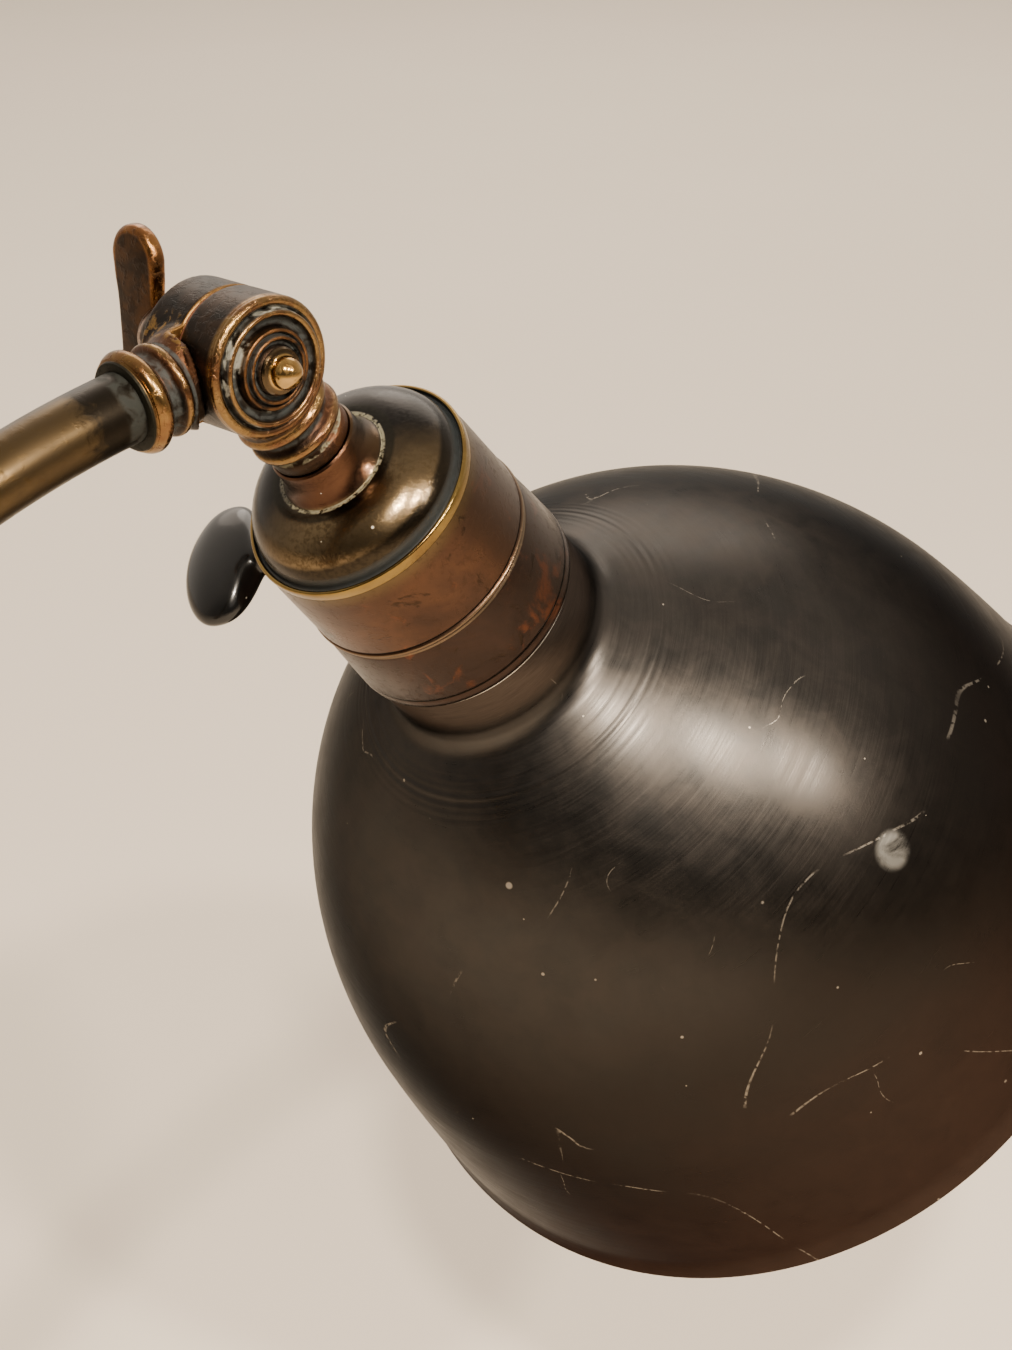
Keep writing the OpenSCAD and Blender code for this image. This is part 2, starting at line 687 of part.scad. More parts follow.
module bulb_filament() color("#8c8478") lamp() {
    loop_r = 9;
    loop_at = glass_at + 30;
    swept([for (a = [-70 : 20 : 250]) [loop_r * cos(a), loop_r * sin(a), loop_at]], 0.3,
          side = [0, 0, 1]);
    for (a = [-60, 90, 240])
        swept([[1.4 * cos(a), 1.4 * sin(a), glass_at + 22], [loop_r * cos(a), loop_r * sin(a), loop_at]],
              0.4, side = [0, 0, 1]);
}

wall_plate();
stem_locknut();
terminal_block();
terminal_screws();
earth_screw();
bracket_tube();
bracket_ferrule();
fixed_barrel();
swing_bolt();
swing_washer();
bracket_lead();
swing_wing_nut();
arm_base_barrel();
arm_base_ferrule();
arm_tube();
arm_lead();
arm_head_ferrule();
arm_head_barrel();
head_bolt();
head_washer();
head_wing_nut();
lamp_barrel();
lamp_nipple();
holder_cap();
holder_body();
holder_skirt();
switch_block();
contact_screws();
screw_shell();
centre_contact();
head_lead();
switch_spindle();
switch_key();
shade_ring();
shade();
bulb_cap();
bulb_glass();
bulb_mount();
bulb_filament();
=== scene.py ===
# %% [markdown]
# # A swing arm wall lamp
# The lamp is a brass wall plate, a bent tube arm between two wing nut knuckles, a bulb holder
# with a black key, and a spun metal dome. The frame brings every piece at its true size and
# place, and this script gives each one its finish and remakes the turned pieces that show.

# %% Load the frame
import json
import math
import bpy
from mathutils import Matrix, Vector


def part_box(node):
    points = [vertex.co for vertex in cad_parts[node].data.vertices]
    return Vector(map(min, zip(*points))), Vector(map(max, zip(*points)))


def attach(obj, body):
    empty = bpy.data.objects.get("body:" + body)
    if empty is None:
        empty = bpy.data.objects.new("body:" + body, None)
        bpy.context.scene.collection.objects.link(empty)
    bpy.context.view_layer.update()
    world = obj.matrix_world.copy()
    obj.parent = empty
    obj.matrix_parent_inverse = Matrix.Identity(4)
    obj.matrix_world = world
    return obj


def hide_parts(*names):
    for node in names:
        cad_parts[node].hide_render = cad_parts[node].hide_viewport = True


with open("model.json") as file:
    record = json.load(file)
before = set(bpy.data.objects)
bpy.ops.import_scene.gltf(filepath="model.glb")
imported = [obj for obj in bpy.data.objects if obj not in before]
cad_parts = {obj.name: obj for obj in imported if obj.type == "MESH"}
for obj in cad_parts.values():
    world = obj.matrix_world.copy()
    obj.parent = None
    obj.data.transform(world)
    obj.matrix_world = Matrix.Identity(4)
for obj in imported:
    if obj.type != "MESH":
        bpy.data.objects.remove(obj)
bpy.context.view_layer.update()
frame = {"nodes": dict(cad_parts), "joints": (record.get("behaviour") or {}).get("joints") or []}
nodes = frame["nodes"]
MM = 0.001

# %% [markdown]
# ## Camera
# The lamp is seen from above and from the wall side, close to the head knuckle, with a lens
# a little longer than normal. Three vectors hold the camera's turn, as they would on a tripod
# head: where it looks, which way is up, and their cross product.

# %% Camera
look = Vector((0.6365, -0.6486, -0.4168)).normalized()
up = Vector((0.2918, -0.2973, 0.909)).normalized()
right = look.cross(up)
bpy.ops.object.camera_add(location=(-0.24357, -0.11128, 0.21009))
camera = bpy.context.object
camera.name = "camera"
turn = Matrix((right, up, -look)).transposed()
camera.rotation_euler = turn.to_euler()
camera.data.sensor_width = 36
camera.data.lens = 56
camera.data.clip_start = 0.01
bpy.context.scene.camera = camera
print("camera at", tuple(camera.location))

# %% [markdown]
# ## Places
# The joints of the frame say where the two knuckles are. Everything on the lamp head is
# turned round one axis, which hangs 48.6 degrees below level, so a small table of matrices
# puts a piece made upright at the origin into its real place.

# %% Places
joints = {j["name"]: j for j in frame["joints"]}
SWING = Vector(joints["arm_swing"]["pos_m"])
HEAD = Vector(joints["head_tilt"]["pos_m"])
LAMP_DROP = 48.6
KEY_TURN = 33
ARM_END_SLOPE = 9.8
KEY_AT = 46


def spun(axis, degrees):
    return Matrix.Rotation(math.radians(degrees), 4, axis)


FLIP = Matrix.Diagonal((1, 1, -1, 1))

LAMP = Matrix.Translation(HEAD) @ spun("X", 90 + LAMP_DROP)
PLACES = {
    "upright": Matrix.Identity(4),
    "wall": spun("X", 90),
    "swing": Matrix.Translation(SWING),
    "swing_wall": Matrix.Translation(SWING) @ spun("Z", 90) @ FLIP,
    "swing_arm": Matrix.Translation(SWING) @ spun("Z", -90),
    "head_arm": Matrix.Translation(HEAD) @ spun("X", -90 - ARM_END_SLOPE) @ spun("Y", -90)
                @ FLIP,
    "head_nut": Matrix.Translation(HEAD) @ spun("Y", -90),
    "head_lamp": LAMP @ spun("Y", -90),
    "lamp": LAMP,
    "key": LAMP @ Matrix.Translation((0, 0, KEY_AT * MM)) @ spun("Z", -KEY_TURN) @ spun("Y", 90),
}
print("swing", tuple(SWING), "head", tuple(HEAD))

# %% [markdown]
# ## Helpers for turned pieces
# Brass fittings like these are made on a lathe, so one vertex is drawn along the outline by
# extruding it, and the outline is spun once round. Spin leaves a seam and sometimes turns the
# skin inside out, so doubles are merged and the normals recalculated every time.


# %% Lathe helpers
def deselect():
    if bpy.context.object and bpy.context.object.mode != "OBJECT":
        bpy.ops.object.mode_set(mode="OBJECT")
    bpy.ops.object.select_all(action="DESELECT")


def only(piece):
    deselect()
    piece.select_set(True)
    bpy.context.view_layer.objects.active = piece


def choose(piece, test):
    """Selects the vertices that pass a test, and the edges and faces that lie wholly on them."""
    mesh = piece.data
    for v in mesh.vertices:
        v.select = bool(test(v.co / MM))
    for part in (*mesh.edges, *mesh.polygons):
        part.select = all(mesh.vertices[i].select for i in part.vertices)


def arc(centre, radius, start, end, steps):
    turns = [math.radians(start + (end - start) * i / steps) for i in range(steps + 1)]
    return [(centre[0] + radius * math.cos(a), centre[1] + radius * math.sin(a)) for a in turns]


def lathe(name, outline, steps=128):
    """Turns an outline of (radius, height) in millimetres round Z."""
    deselect()
    bpy.ops.mesh.primitive_plane_add(size=MM)
    piece = bpy.context.object
    piece.name = name
    piece.data.name = name
    bpy.ops.object.mode_set(mode="EDIT")
    bpy.ops.mesh.select_all(action="SELECT")
    bpy.ops.mesh.merge(type="CENTER")
    r, z = outline[0]
    bpy.ops.transform.translate(value=(r * MM, 0, z * MM))
    for (r0, z0), (r1, z1) in zip(outline, outline[1:]):
        bpy.ops.mesh.extrude_region_move(
            TRANSFORM_OT_translate={"value": ((r1 - r0) * MM, 0, (z1 - z0) * MM)})
    bpy.ops.mesh.select_all(action="SELECT")
    bpy.ops.mesh.spin(steps=steps, angle=2 * math.pi, center=(0, 0, 0), axis=(0, 0, 1))
    bpy.ops.mesh.select_all(action="SELECT")
    bpy.ops.mesh.remove_doubles(threshold=0.004 * MM)
    bpy.ops.mesh.normals_make_consistent(inside=False)
    bpy.ops.object.mode_set(mode="OBJECT")
    return piece


def apply_modifier(piece, kind, **settings):
    only(piece)
    modifier = piece.modifiers.new(kind.lower(), kind)
    for key, value in settings.items():
        setattr(modifier, key, value)
    bpy.ops.object.modifier_apply(modifier=modifier.name)


def rounded(piece, width, angle=28, segments=2):
    apply_modifier(piece, "BEVEL", width=width * MM, limit_method="ANGLE",
                   angle_limit=math.radians(angle), segments=segments)


def place(piece, where):
    """Puts a finished piece at its place on the lamp and applies it."""
    only(piece)
    piece.matrix_world = PLACES[where] @ piece.matrix_world
    bpy.ops.object.transform_apply(location=True, rotation=True, scale=True)
    if PLACES[where].determinant() < 0:
        bpy.ops.object.mode_set(mode="EDIT")
        bpy.ops.mesh.select_all(action="SELECT")
        bpy.ops.mesh.normals_make_consistent(inside=False)
        bpy.ops.object.mode_set(mode="OBJECT")
    return piece


def applied(piece):
    """Writes a piece's move, turn and scale into its mesh."""
    only(piece)
    bpy.ops.object.transform_apply(location=True, rotation=True, scale=True)


def copied(piece, name):
    twin = piece.copy()
    twin.data = piece.data.copy()
    twin.name = twin.data.name = name
    bpy.context.scene.collection.objects.link(twin)
    return twin


def joined(pieces, name):
    only(pieces[0])
    for p in pieces:
        p.select_set(True)
    bpy.ops.object.join()
    piece = bpy.context.object
    piece.name = piece.data.name = name
    return piece


def smooth(piece, angle=40):
    only(piece)
    bpy.ops.object.shade_smooth_by_angle(angle=math.radians(angle))


def finish_piece(piece, where, body, stands_for, angle=40):
    """Places, smooths and registers a piece with the frame."""
    place(piece, where)
    smooth(piece, angle)
    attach(piece, body)
    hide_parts(*stands_for)
    print(piece.name, "faces", len(piece.data.polygons), "rides", body)
    return piece


# %% [markdown]
# ## Knuckle halves
# A knuckle is a short barrel cut across its middle, and each half is one casting with its
# stem. The stem runs into the barrel with a soft hollow corner, which a plain union would
# make sharp, so the two solids are joined by a boolean, remeshed finely and relaxed. Below
# the cut the stem's flare is cleared away, so that the two halves can turn past each other.

# %% Sizes of a knuckle
BARREL_R = 10.8
BARREL_HALF = 8.5
HALF_GAP = 0.14
STEM_R = 6.9
CORE_R = STEM_R - 0.35
STEM_ROOT = 5
FLARE_CLEAR, CORE_CLEAR = 1.75, 0.25
BELOW = BARREL_HALF + 4
VOXEL = 0.26
CASTING_SMOOTHS, CORNER_SMOOTHS = 7, 30
NECK_AT = BARREL_R + 11.2


def casting(name, stem_outline):
    """Half a barrel along +Z with its stem along +X, run together with a soft corner."""
    barrel = lathe(name, [
        (0, HALF_GAP), (BARREL_R - 0.3, HALF_GAP), (BARREL_R, HALF_GAP + 0.35),
        (BARREL_R, BARREL_HALF - 0.3), (BARREL_R - 0.4, BARREL_HALF), (0, BARREL_HALF)], 96)
    core = [(0, STEM_ROOT), (CORE_R, STEM_ROOT), (CORE_R, BARREL_R + 4), (0, BARREL_R + 4)]
    for outline, clear in ((stem_outline, FLARE_CLEAR), (core, CORE_CLEAR)):
        stem = lathe(name + "_stem", outline, 72)
        stem.matrix_world = spun("Y", 90)
        applied(stem)
        room = lathe(name + "_room", [(0, -BELOW), (BARREL_R + clear, -BELOW),
                                      (BARREL_R + clear, HALF_GAP), (0, HALF_GAP)], 96)
        apply_modifier(stem, "BOOLEAN", operation="DIFFERENCE", object=room, solver="EXACT")
        apply_modifier(barrel, "BOOLEAN", operation="UNION", object=stem, solver="EXACT")
        bpy.data.objects.remove(stem)
        bpy.data.objects.remove(room)
    apply_modifier(barrel, "REMESH", mode="VOXEL", voxel_size=VOXEL * MM)
    apply_modifier(barrel, "SMOOTH", factor=0.5, iterations=CASTING_SMOOTHS)
    choose(barrel, lambda p: 4.5 < p.x < BARREL_R + 1.3 and 0.9 < p.z < BARREL_HALF - 1.2)
    bpy.ops.object.mode_set(mode="EDIT")
    bpy.ops.mesh.vertices_smooth(factor=0.5, repeat=CORNER_SMOOTHS)
    bpy.ops.object.mode_set(mode="OBJECT")
    return barrel


# %% Stems
tube_stem = [(0, STEM_ROOT), (STEM_R + 1.0, STEM_ROOT), (STEM_R + 1.0, BARREL_R - 1.6),
             (STEM_R + 0.8, BARREL_R - 0.4), (STEM_R + 0.15, BARREL_R + 0.7), (STEM_R - 0.2, BARREL_R + 1.5),
             (STEM_R - 0.5, BARREL_R + 1.9)] + \
    arc((STEM_R - 0.55, BARREL_R + 2.95), 0.95, -70, 70, 8) + \
    [(STEM_R - 0.9, BARREL_R + 4.1), (STEM_R - 1.0, BARREL_R + 5.0), (STEM_R - 0.9, BARREL_R + 5.7),
     (0, BARREL_R + 5.7)]
tube_half = casting("tube_half", tube_stem)
print("tube half", len(tube_half.data.polygons))

lamp_stem = [(0, STEM_ROOT), (STEM_R + 1.0, STEM_ROOT), (STEM_R + 1.0, BARREL_R - 0.9),
             (STEM_R + 0.6, BARREL_R + 0.4)] + \
    arc((STEM_R + 0.15, BARREL_R + 2.3), 1.0, -75, 78, 8) + \
    [(STEM_R - 0.45, BARREL_R + 3.6), (STEM_R - 0.5, BARREL_R + 4.8)] + \
    arc((STEM_R + 0.15, BARREL_R + 6.3), 1.0, -75, 80, 8) + \
    [(STEM_R - 0.55, BARREL_R + 7.7), (STEM_R - 0.6, BARREL_R + 8.3), (STEM_R + 0.1, BARREL_R + 8.8),
     (STEM_R + 0.3, BARREL_R + 9.5), (STEM_R + 0.2, NECK_AT - 0.1), (0, NECK_AT - 0.1)]
lamp_half = casting("lamp_half", lamp_stem)
print("lamp half", len(lamp_half.data.polygons))

# %% [markdown]
# The rosette on the end of the barrel is crisp turning: a rounded rim, a groove, a thin
# ridge, a wide cove and two small rings round the bolt. It is turned on its own, so that its
# fine edges survive, and joined to the casting.

# %% Rosette
rosette_line = [(0, BARREL_HALF - 1), (BARREL_R - 0.25, BARREL_HALF - 1)] + \
    arc((BARREL_R - 0.85, BARREL_HALF - 0.15), 0.86, -8, 160, 12) + \
    [(BARREL_R - 1.75, BARREL_HALF - 0.1), (BARREL_R - 1.95, BARREL_HALF + 0.35)] + \
    arc((BARREL_R - 2.45, BARREL_HALF + 1.15), 0.5, -20, 190, 10) + \
    [(BARREL_R - 3.15, BARREL_HALF + 0.55), (BARREL_R - 3.7, BARREL_HALF + 0.3),
     (BARREL_R - 4.3, BARREL_HALF + 0.45), (BARREL_R - 4.65, BARREL_HALF + 1.2)] + \
    arc((BARREL_R - 4.95, BARREL_HALF + 1.6), 0.33, -10, 180, 8) + \
    [(BARREL_R - 5.4, BARREL_HALF + 1.25), (BARREL_R - 5.65, BARREL_HALF + 1.4)] + \
    arc((BARREL_R - 5.95, BARREL_HALF + 2.15), 0.32, -20, 180, 8) + \
    [(BARREL_R - 6.55, BARREL_HALF + 1.7), (BARREL_R - 6.9, BARREL_HALF + 1.75),
     (BARREL_R - 7.05, BARREL_HALF + 2.4), (BARREL_R - 7.4, BARREL_HALF + 2.6), (0, BARREL_HALF + 2.6)]
rosette = lathe("rosette", rosette_line, 160)
print("rosette", len(rosette.data.polygons))

# %% Place the four halves
lamp_barrel = joined([lamp_half, copied(rosette, "rosette_lamp")], "lamp_barrel_casting")
arm_base = joined([copied(tube_half, "arm_base_half"), rosette], "arm_base_casting")
fixed = copied(tube_half, "fixed_casting")
arm_head = tube_half
arm_head.name = arm_head.data.name = "arm_head_casting"
finish_piece(lamp_barrel, "head_lamp", "lamp_head", ["lamp_barrel"], 50)
finish_piece(arm_base, "swing_arm", "arm", ["arm_base_barrel"], 50)
finish_piece(fixed, "swing_wall", "bracket", ["fixed_barrel"], 50)
finish_piece(arm_head, "head_arm", "arm", ["arm_head_barrel"], 50)

# %% [markdown]
# ## Bolts
# The button in the middle of each rosette is the bolt's head: a low collar and a polished
# dome. The shank below runs through the barrel to the wing nut.

# %% Bolts
ROSETTE_TOP = BARREL_HALF + 2.5
BOLT_R, BUTTON_R, NUT_BORE = 2, 2.55, 2.06
bolt_line = [(0, -BARREL_HALF - 11), (1.5, -BARREL_HALF - 11), (BOLT_R, -BARREL_HALF - 10.5),
             (BOLT_R, ROSETTE_TOP + 0.05), (3.6, ROSETTE_TOP + 0.05), (3.65, ROSETTE_TOP + 0.3),
             (3.4, ROSETTE_TOP + 0.65),
             (2.8, ROSETTE_TOP + 0.7), (2.45, ROSETTE_TOP + 0.9)] + \
    arc((0, ROSETTE_TOP + 1.35), BUTTON_R, -8, 90, 14)
bolt = lathe("head_bolt_button", bolt_line, 64)
finish_piece(copied(bolt, "swing_bolt_button"), "swing", "bracket", ["swing_bolt"])
PLACES["head_bolt"] = PLACES["head_arm"] @ FLIP
finish_piece(bolt, "head_bolt", "arm", ["head_bolt"])

# %% [markdown]
# ## Ferrules
# The band that closes the tube against the stem is a rounded ring with a fine groove on the
# tube's side. Three are alike, so one is turned and two are copies.

# %% Ferrules
FERRULE_AT = BARREL_R + 5.75
FERRULE_BORE = 5.56
ferrule_line = [(FERRULE_BORE, FERRULE_AT), (6.3, FERRULE_AT), (6.75, FERRULE_AT + 0.25)] + \
    arc((6.55, FERRULE_AT + 1.9), 1.42, -72, 62, 12) + \
    [(7.3, FERRULE_AT + 3.35), (6.95, FERRULE_AT + 3.5), (6.8, FERRULE_AT + 3.95), (6.3, FERRULE_AT + 4.15),
     (FERRULE_BORE, FERRULE_AT + 4.1), (FERRULE_BORE, FERRULE_AT)]
ferrule = lathe("arm_head_band", ferrule_line, 96)
ferrule.matrix_world = spun("Y", 90)
applied(ferrule)
finish_piece(copied(ferrule, "arm_base_band"), "swing_arm", "arm", ["arm_base_ferrule"])
finish_piece(copied(ferrule, "bracket_band"), "swing_wall", "bracket", ["bracket_ferrule"])
finish_piece(ferrule, "head_arm", "arm", ["arm_head_ferrule"])

# %% [markdown]
# ## Wing nuts
# A flat thumb plate with round ends stands on a turned hub. The plate starts as a cylinder
# whose two sides are pulled apart, then its waist is drawn in and its edges rounded over, as
# fingers and a file leave them.

# %% Wing nuts
WING_SPAN, WING_W, WING_T = 33, 11, 2.8
WING_AT = BARREL_HALF + 8
deselect()
bpy.ops.mesh.primitive_cylinder_add(vertices=64, radius=WING_W / 2 * MM, depth=WING_T * MM,
                                    end_fill_type="NGON")
wing = bpy.context.object
wing.name = "wing"
for side in (-1, 1):
    choose(wing, lambda p: side * p.x > 0.01)
    bpy.ops.object.mode_set(mode="EDIT")
    bpy.ops.mesh.select_mode(type="VERT")
    bpy.ops.transform.translate(value=(side * (WING_SPAN - WING_W) / 2 * MM, 0, 0))
    bpy.ops.object.mode_set(mode="OBJECT")
only(wing)
bpy.ops.object.mode_set(mode="EDIT")
for cut in (-8, -5.5, -3, 3, 5.5, 8):
    bpy.ops.mesh.select_all(action="SELECT")
    bpy.ops.mesh.bisect(plane_co=(cut * MM, 0, 0), plane_no=(1, 0, 0))
bpy.ops.object.mode_set(mode="OBJECT")
for reach, width in ((8.2, 0.955), (5.7, 0.93), (3.2, 0.97)):
    choose(wing, lambda p: abs(p.x) < reach)
    bpy.ops.object.mode_set(mode="EDIT")
    bpy.ops.transform.resize(value=(1, width, 1), center_override=(0, 0, 0))
    bpy.ops.object.mode_set(mode="OBJECT")
rounded(wing, 1.05, 40, 5)
wing.matrix_world = Matrix.Translation((0, 0, (-WING_AT - WING_W / 2) * MM)) @ spun("X", 90)
hub = lathe("hub", [(NUT_BORE, -BARREL_HALF - 0.3), (5.2, -BARREL_HALF - 0.3), (5.5, -BARREL_HALF - 0.6),
                    (5.5, -BARREL_HALF - 2.2), (5.0, -BARREL_HALF - 2.6), (5.0, -BARREL_HALF - 3.0),
                    (5.35, -BARREL_HALF - 3.4), (5.2, -WING_AT + 1), (4.3, -WING_AT - 1.4),
                    (2.9, -WING_AT - 2.6), (NUT_BORE, -WING_AT - 2.7), (NUT_BORE, -BARREL_HALF - 0.3)], 64)
wing = joined([wing, hub], "swing_wing")
applied(wing)
finish_piece(copied(wing, "head_wing"), "head_nut", "head_nut", ["head_wing_nut"], 35)
finish_piece(wing, "swing", "swing_nut", ["swing_wing_nut"], 35)

# %% [markdown]
# ## Arm tube
# A bent tube is what Spin makes best: a circle is turned about the first bend's centre, drawn
# straight along its slope, turned back about the second centre and given its wall.

# %% Arm tube
TUBE_R, TUBE_WALL = 5.5, 1.0
BEND_IN, ARM_STRAIGHT, BEND_OUT, ARM_RISE = 110, 30, 165, 50
STEM_LEN = BARREL_R + 9.9
TUBE_SEAT = BARREL_R + 2.3
deselect()
bpy.ops.mesh.primitive_circle_add(vertices=64, radius=TUBE_R * MM, fill_type="NOTHING",
                                  location=(0, SWING.y - TUBE_SEAT * MM, 0),
                                  rotation=(math.pi / 2, 0, 0))
arm = bpy.context.object
arm.name = arm.data.name = "arm_bent_tube"
bpy.ops.object.mode_set(mode="EDIT")
bpy.ops.mesh.select_all(action="SELECT")
bpy.ops.mesh.extrude_region_move(
    TRANSFORM_OT_translate={"value": (0, -(STEM_LEN - TUBE_SEAT) * MM, 0)})
start_y = SWING.y - STEM_LEN * MM
bpy.ops.mesh.spin(steps=36, angle=math.radians(ARM_RISE), center=(0, start_y, BEND_IN * MM),
                  axis=(1, 0, 0))
rise = math.radians(ARM_RISE)
bend_y = start_y - BEND_IN * MM * math.sin(rise)
bend_z = BEND_IN * MM * (1 - math.cos(rise))
step = ARM_STRAIGHT * MM
bpy.ops.mesh.extrude_region_move(
    TRANSFORM_OT_translate={"value": (0, -step * math.cos(rise), step * math.sin(rise))})
bend_y -= step * math.cos(rise)
bend_z += step * math.sin(rise)
centre = (0, bend_y - BEND_OUT * MM * math.sin(rise), bend_z - BEND_OUT * MM * math.cos(rise))
bpy.ops.mesh.spin(steps=40, angle=math.radians(ARM_RISE - ARM_END_SLOPE), center=centre,
                  axis=(-1, 0, 0))
end = math.radians(ARM_END_SLOPE)
run = (STEM_LEN - TUBE_SEAT) * MM
bpy.ops.mesh.extrude_region_move(
    TRANSFORM_OT_translate={"value": (0, -run * math.cos(end), run * math.sin(end))})
bpy.ops.mesh.select_all(action="SELECT")
bpy.ops.mesh.remove_doubles(threshold=0.004 * MM)
bpy.ops.mesh.normals_make_consistent(inside=False)
bpy.ops.object.mode_set(mode="OBJECT")
applied(arm)
apply_modifier(arm, "SOLIDIFY", thickness=TUBE_WALL * MM, offset=-1)
finish_piece(arm, "upright", "arm", ["arm_tube"], 60)
low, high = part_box("arm_tube")
print("tube z", [round(v.co.z, 4) for v in (min(arm.data.vertices, key=lambda v: v.co.z),
      max(arm.data.vertices, key=lambda v: v.co.z))], "cad", round(low.z, 4), round(high.z, 4))

# %% [markdown]
# ## Bulb holder
# The holder is three pressings. The cap has a waisted neck and a low dome that ends in a
# groove and a rounded lip, the body carries the key, and the skirt slips over it with a
# rolled seam. All three are turned from outlines with every bead and step drawn in.

# %% Holder outlines
HOLDER_R = 21
NECK_R = 7.5
CAP_BORE, SHELL_IN, CLAMP_R, CLAMP_IN = 5.06, 19.3, 17.4, 16.3
DOME_AT, BODY_AT, SEAM_AT, SKIRT_END = 28.3, 37.5, 55.0, 70.7
dome_line = [(9.55 + 9.35 * math.sin(math.radians(a)), 35.75 - 7.35 * math.cos(math.radians(a)))
             for a in range(0, 91, 6)]
cap_line = [(CAP_BORE, NECK_AT), (NECK_R - 0.2, NECK_AT), (NECK_R + 0.1, NECK_AT + 0.3),
            (NECK_R + 0.15, NECK_AT + 1.5), (NECK_R + 0.25, NECK_AT + 3.2), (NECK_R + 0.6, NECK_AT + 4.6),
            (NECK_R + 1.2, DOME_AT - 0.7), (NECK_R + 1.55, DOME_AT - 0.2),
            (NECK_R + 1.75, DOME_AT + 0.15)] + \
    dome_line + [(18.95, 36.1), (19.2, 36.35), (19.5, 36.2), (19.6, 35.9)] + \
    arc((20.0, 35.95), 0.42, 165, 360, 8) + [(20.42, 36.6), (20.3, BODY_AT), (18.4, BODY_AT), (18.2, 36.6),
    (12, 31), (9, 29.6), (CAP_BORE, 29.4), (CAP_BORE, NECK_AT)]
body_line = [(SHELL_IN, BODY_AT + 0.05), (20.32, BODY_AT + 0.05), (20.5, BODY_AT + 3), (20.85, SEAM_AT - 2.2),
             (20.9, SEAM_AT - 1.5), (20.7, SEAM_AT - 1.25), (20.72, SEAM_AT - 1.0)] + \
    arc((20.75, SEAM_AT - 0.52), 0.42, -70, 80, 6) + [(20.5, SEAM_AT - 0.02), (SHELL_IN, SEAM_AT - 0.02),
    (SHELL_IN, BODY_AT + 0.05)]
skirt_line = [(SHELL_IN, SEAM_AT + 0.05), (20.55, SEAM_AT + 0.05), (20.75, SEAM_AT + 0.35),
              (20.95, SEAM_AT + 1.1), (21.35, SEAM_AT + 6), (21.8, SKIRT_END - 2.6),
              (21.78, SKIRT_END - 2.35), (21.68, SKIRT_END - 2.2), (21.8, SKIRT_END - 2.0),
              (21.9, SKIRT_END - 1.0), (21.86, SKIRT_END - 0.3), (21.6, SKIRT_END),
              (CLAMP_R, SKIRT_END), (CLAMP_R, SKIRT_END + 8.5), (CLAMP_IN, SKIRT_END + 8.5),
              (CLAMP_IN, SKIRT_END - 1.2), (20.2, SKIRT_END - 1.2), (19.9, SEAM_AT + 1.5),
              (SHELL_IN, SEAM_AT + 1.5), (SHELL_IN, SEAM_AT + 0.05)]

# %% Turn the holder
cap = lathe("holder_dome", cap_line, 160)
finish_piece(cap, "lamp", "lamp_head", ["holder_cap"])
body = lathe("holder_upper_shell", body_line, 160)
BUSH_BORE = 2.06
bush = lathe("bush", [(BUSH_BORE, 19.4), (4.2, 19.4), (4.2, 21.2), (3.8, 21.6), (2.4, 21.7),
                      (BUSH_BORE, 21.4), (BUSH_BORE, 19.4)], 48)
bush.matrix_world = PLACES["lamp"].inverted() @ PLACES["key"]
body = joined([body, bush], "holder_upper_shell")
finish_piece(body, "lamp", "lamp_head", ["holder_body"])
skirt = lathe("holder_lower_shell", skirt_line, 160)
finish_piece(skirt, "lamp", "lamp_head", ["holder_skirt"])

# %% [markdown]
# ## Shade
# The dome is spun from one sheet. Its outline is a straight neck, a tight hollow flare with a
# few ridges left by the spinning tool, a round shoulder and a long flank down to a rolled rim.
# The ridges are real geometry, because light picks them out.

# %% Shade outline
SHADE_TOP = SKIRT_END + 0.05
SHADE_NECK_R = HOLDER_R + 0.3
FLARE_AT = SHADE_TOP + 10.2
RIM_AT = FLARE_AT + 115
RIM_R = 83.5
FLARE_R, SHOULDER_R, FLANK_R = 6, 109.2, 470
RIM_TURN, FLANK_TURN = 97.3, 101.95
DRAWN_W = 62.2


def polar(radius, degrees):
    a = math.radians(degrees)
    return Vector((radius * math.cos(a), radius * math.sin(a)))


flank_c = Vector((0, DRAWN_W)) - polar(FLANK_R, RIM_TURN)
shoulder_c = flank_c + polar(FLANK_R - SHOULDER_R, FLANK_TURN)
flare_turn = math.degrees(math.asin((FLARE_R - shoulder_c.y) / (SHOULDER_R + FLARE_R)))
flare_c = (shoulder_c.x - (SHOULDER_R + FLARE_R) * math.cos(math.radians(flare_turn)), FLARE_R)
drawn = arc(flare_c, FLARE_R, -90, -flare_turn, 12) \
    + arc(shoulder_c, SHOULDER_R, 180 - flare_turn - 1, FLANK_TURN, 44) \
    + arc(flank_c, FLANK_R, FLANK_TURN - 0.5, RIM_TURN, 12)
outer = [(SHADE_NECK_R + p[1] * (RIM_R - SHADE_NECK_R) / DRAWN_W, RIM_AT + p[0]) for p in drawn]


def offset(line, d):
    """The same line moved sideways by d, to the right of its direction."""
    moved = []
    for i, p in enumerate(line):
        a, b = line[max(i - 1, 0)], line[min(i + 1, len(line) - 1)]
        run = math.hypot(b[0] - a[0], b[1] - a[1])
        moved.append((p[0] + d * (b[1] - a[1]) / run, p[1] - d * (b[0] - a[0]) / run))
    return moved


# %% Spinning ridges
def resampled(line, pitch):
    """Points a pitch apart along a line, so that fine ridges have points to stand on."""
    points = [line[0]]
    left = pitch
    for a, b in zip(line, line[1:]):
        run = math.hypot(b[0] - a[0], b[1] - a[1])
        done = 0
        while run - done > left:
            done += left
            points.append((a[0] + (b[0] - a[0]) * done / run, a[1] + (b[1] - a[1]) * done / run))
            left = pitch
        left -= run - done
    return points + [line[-1]]


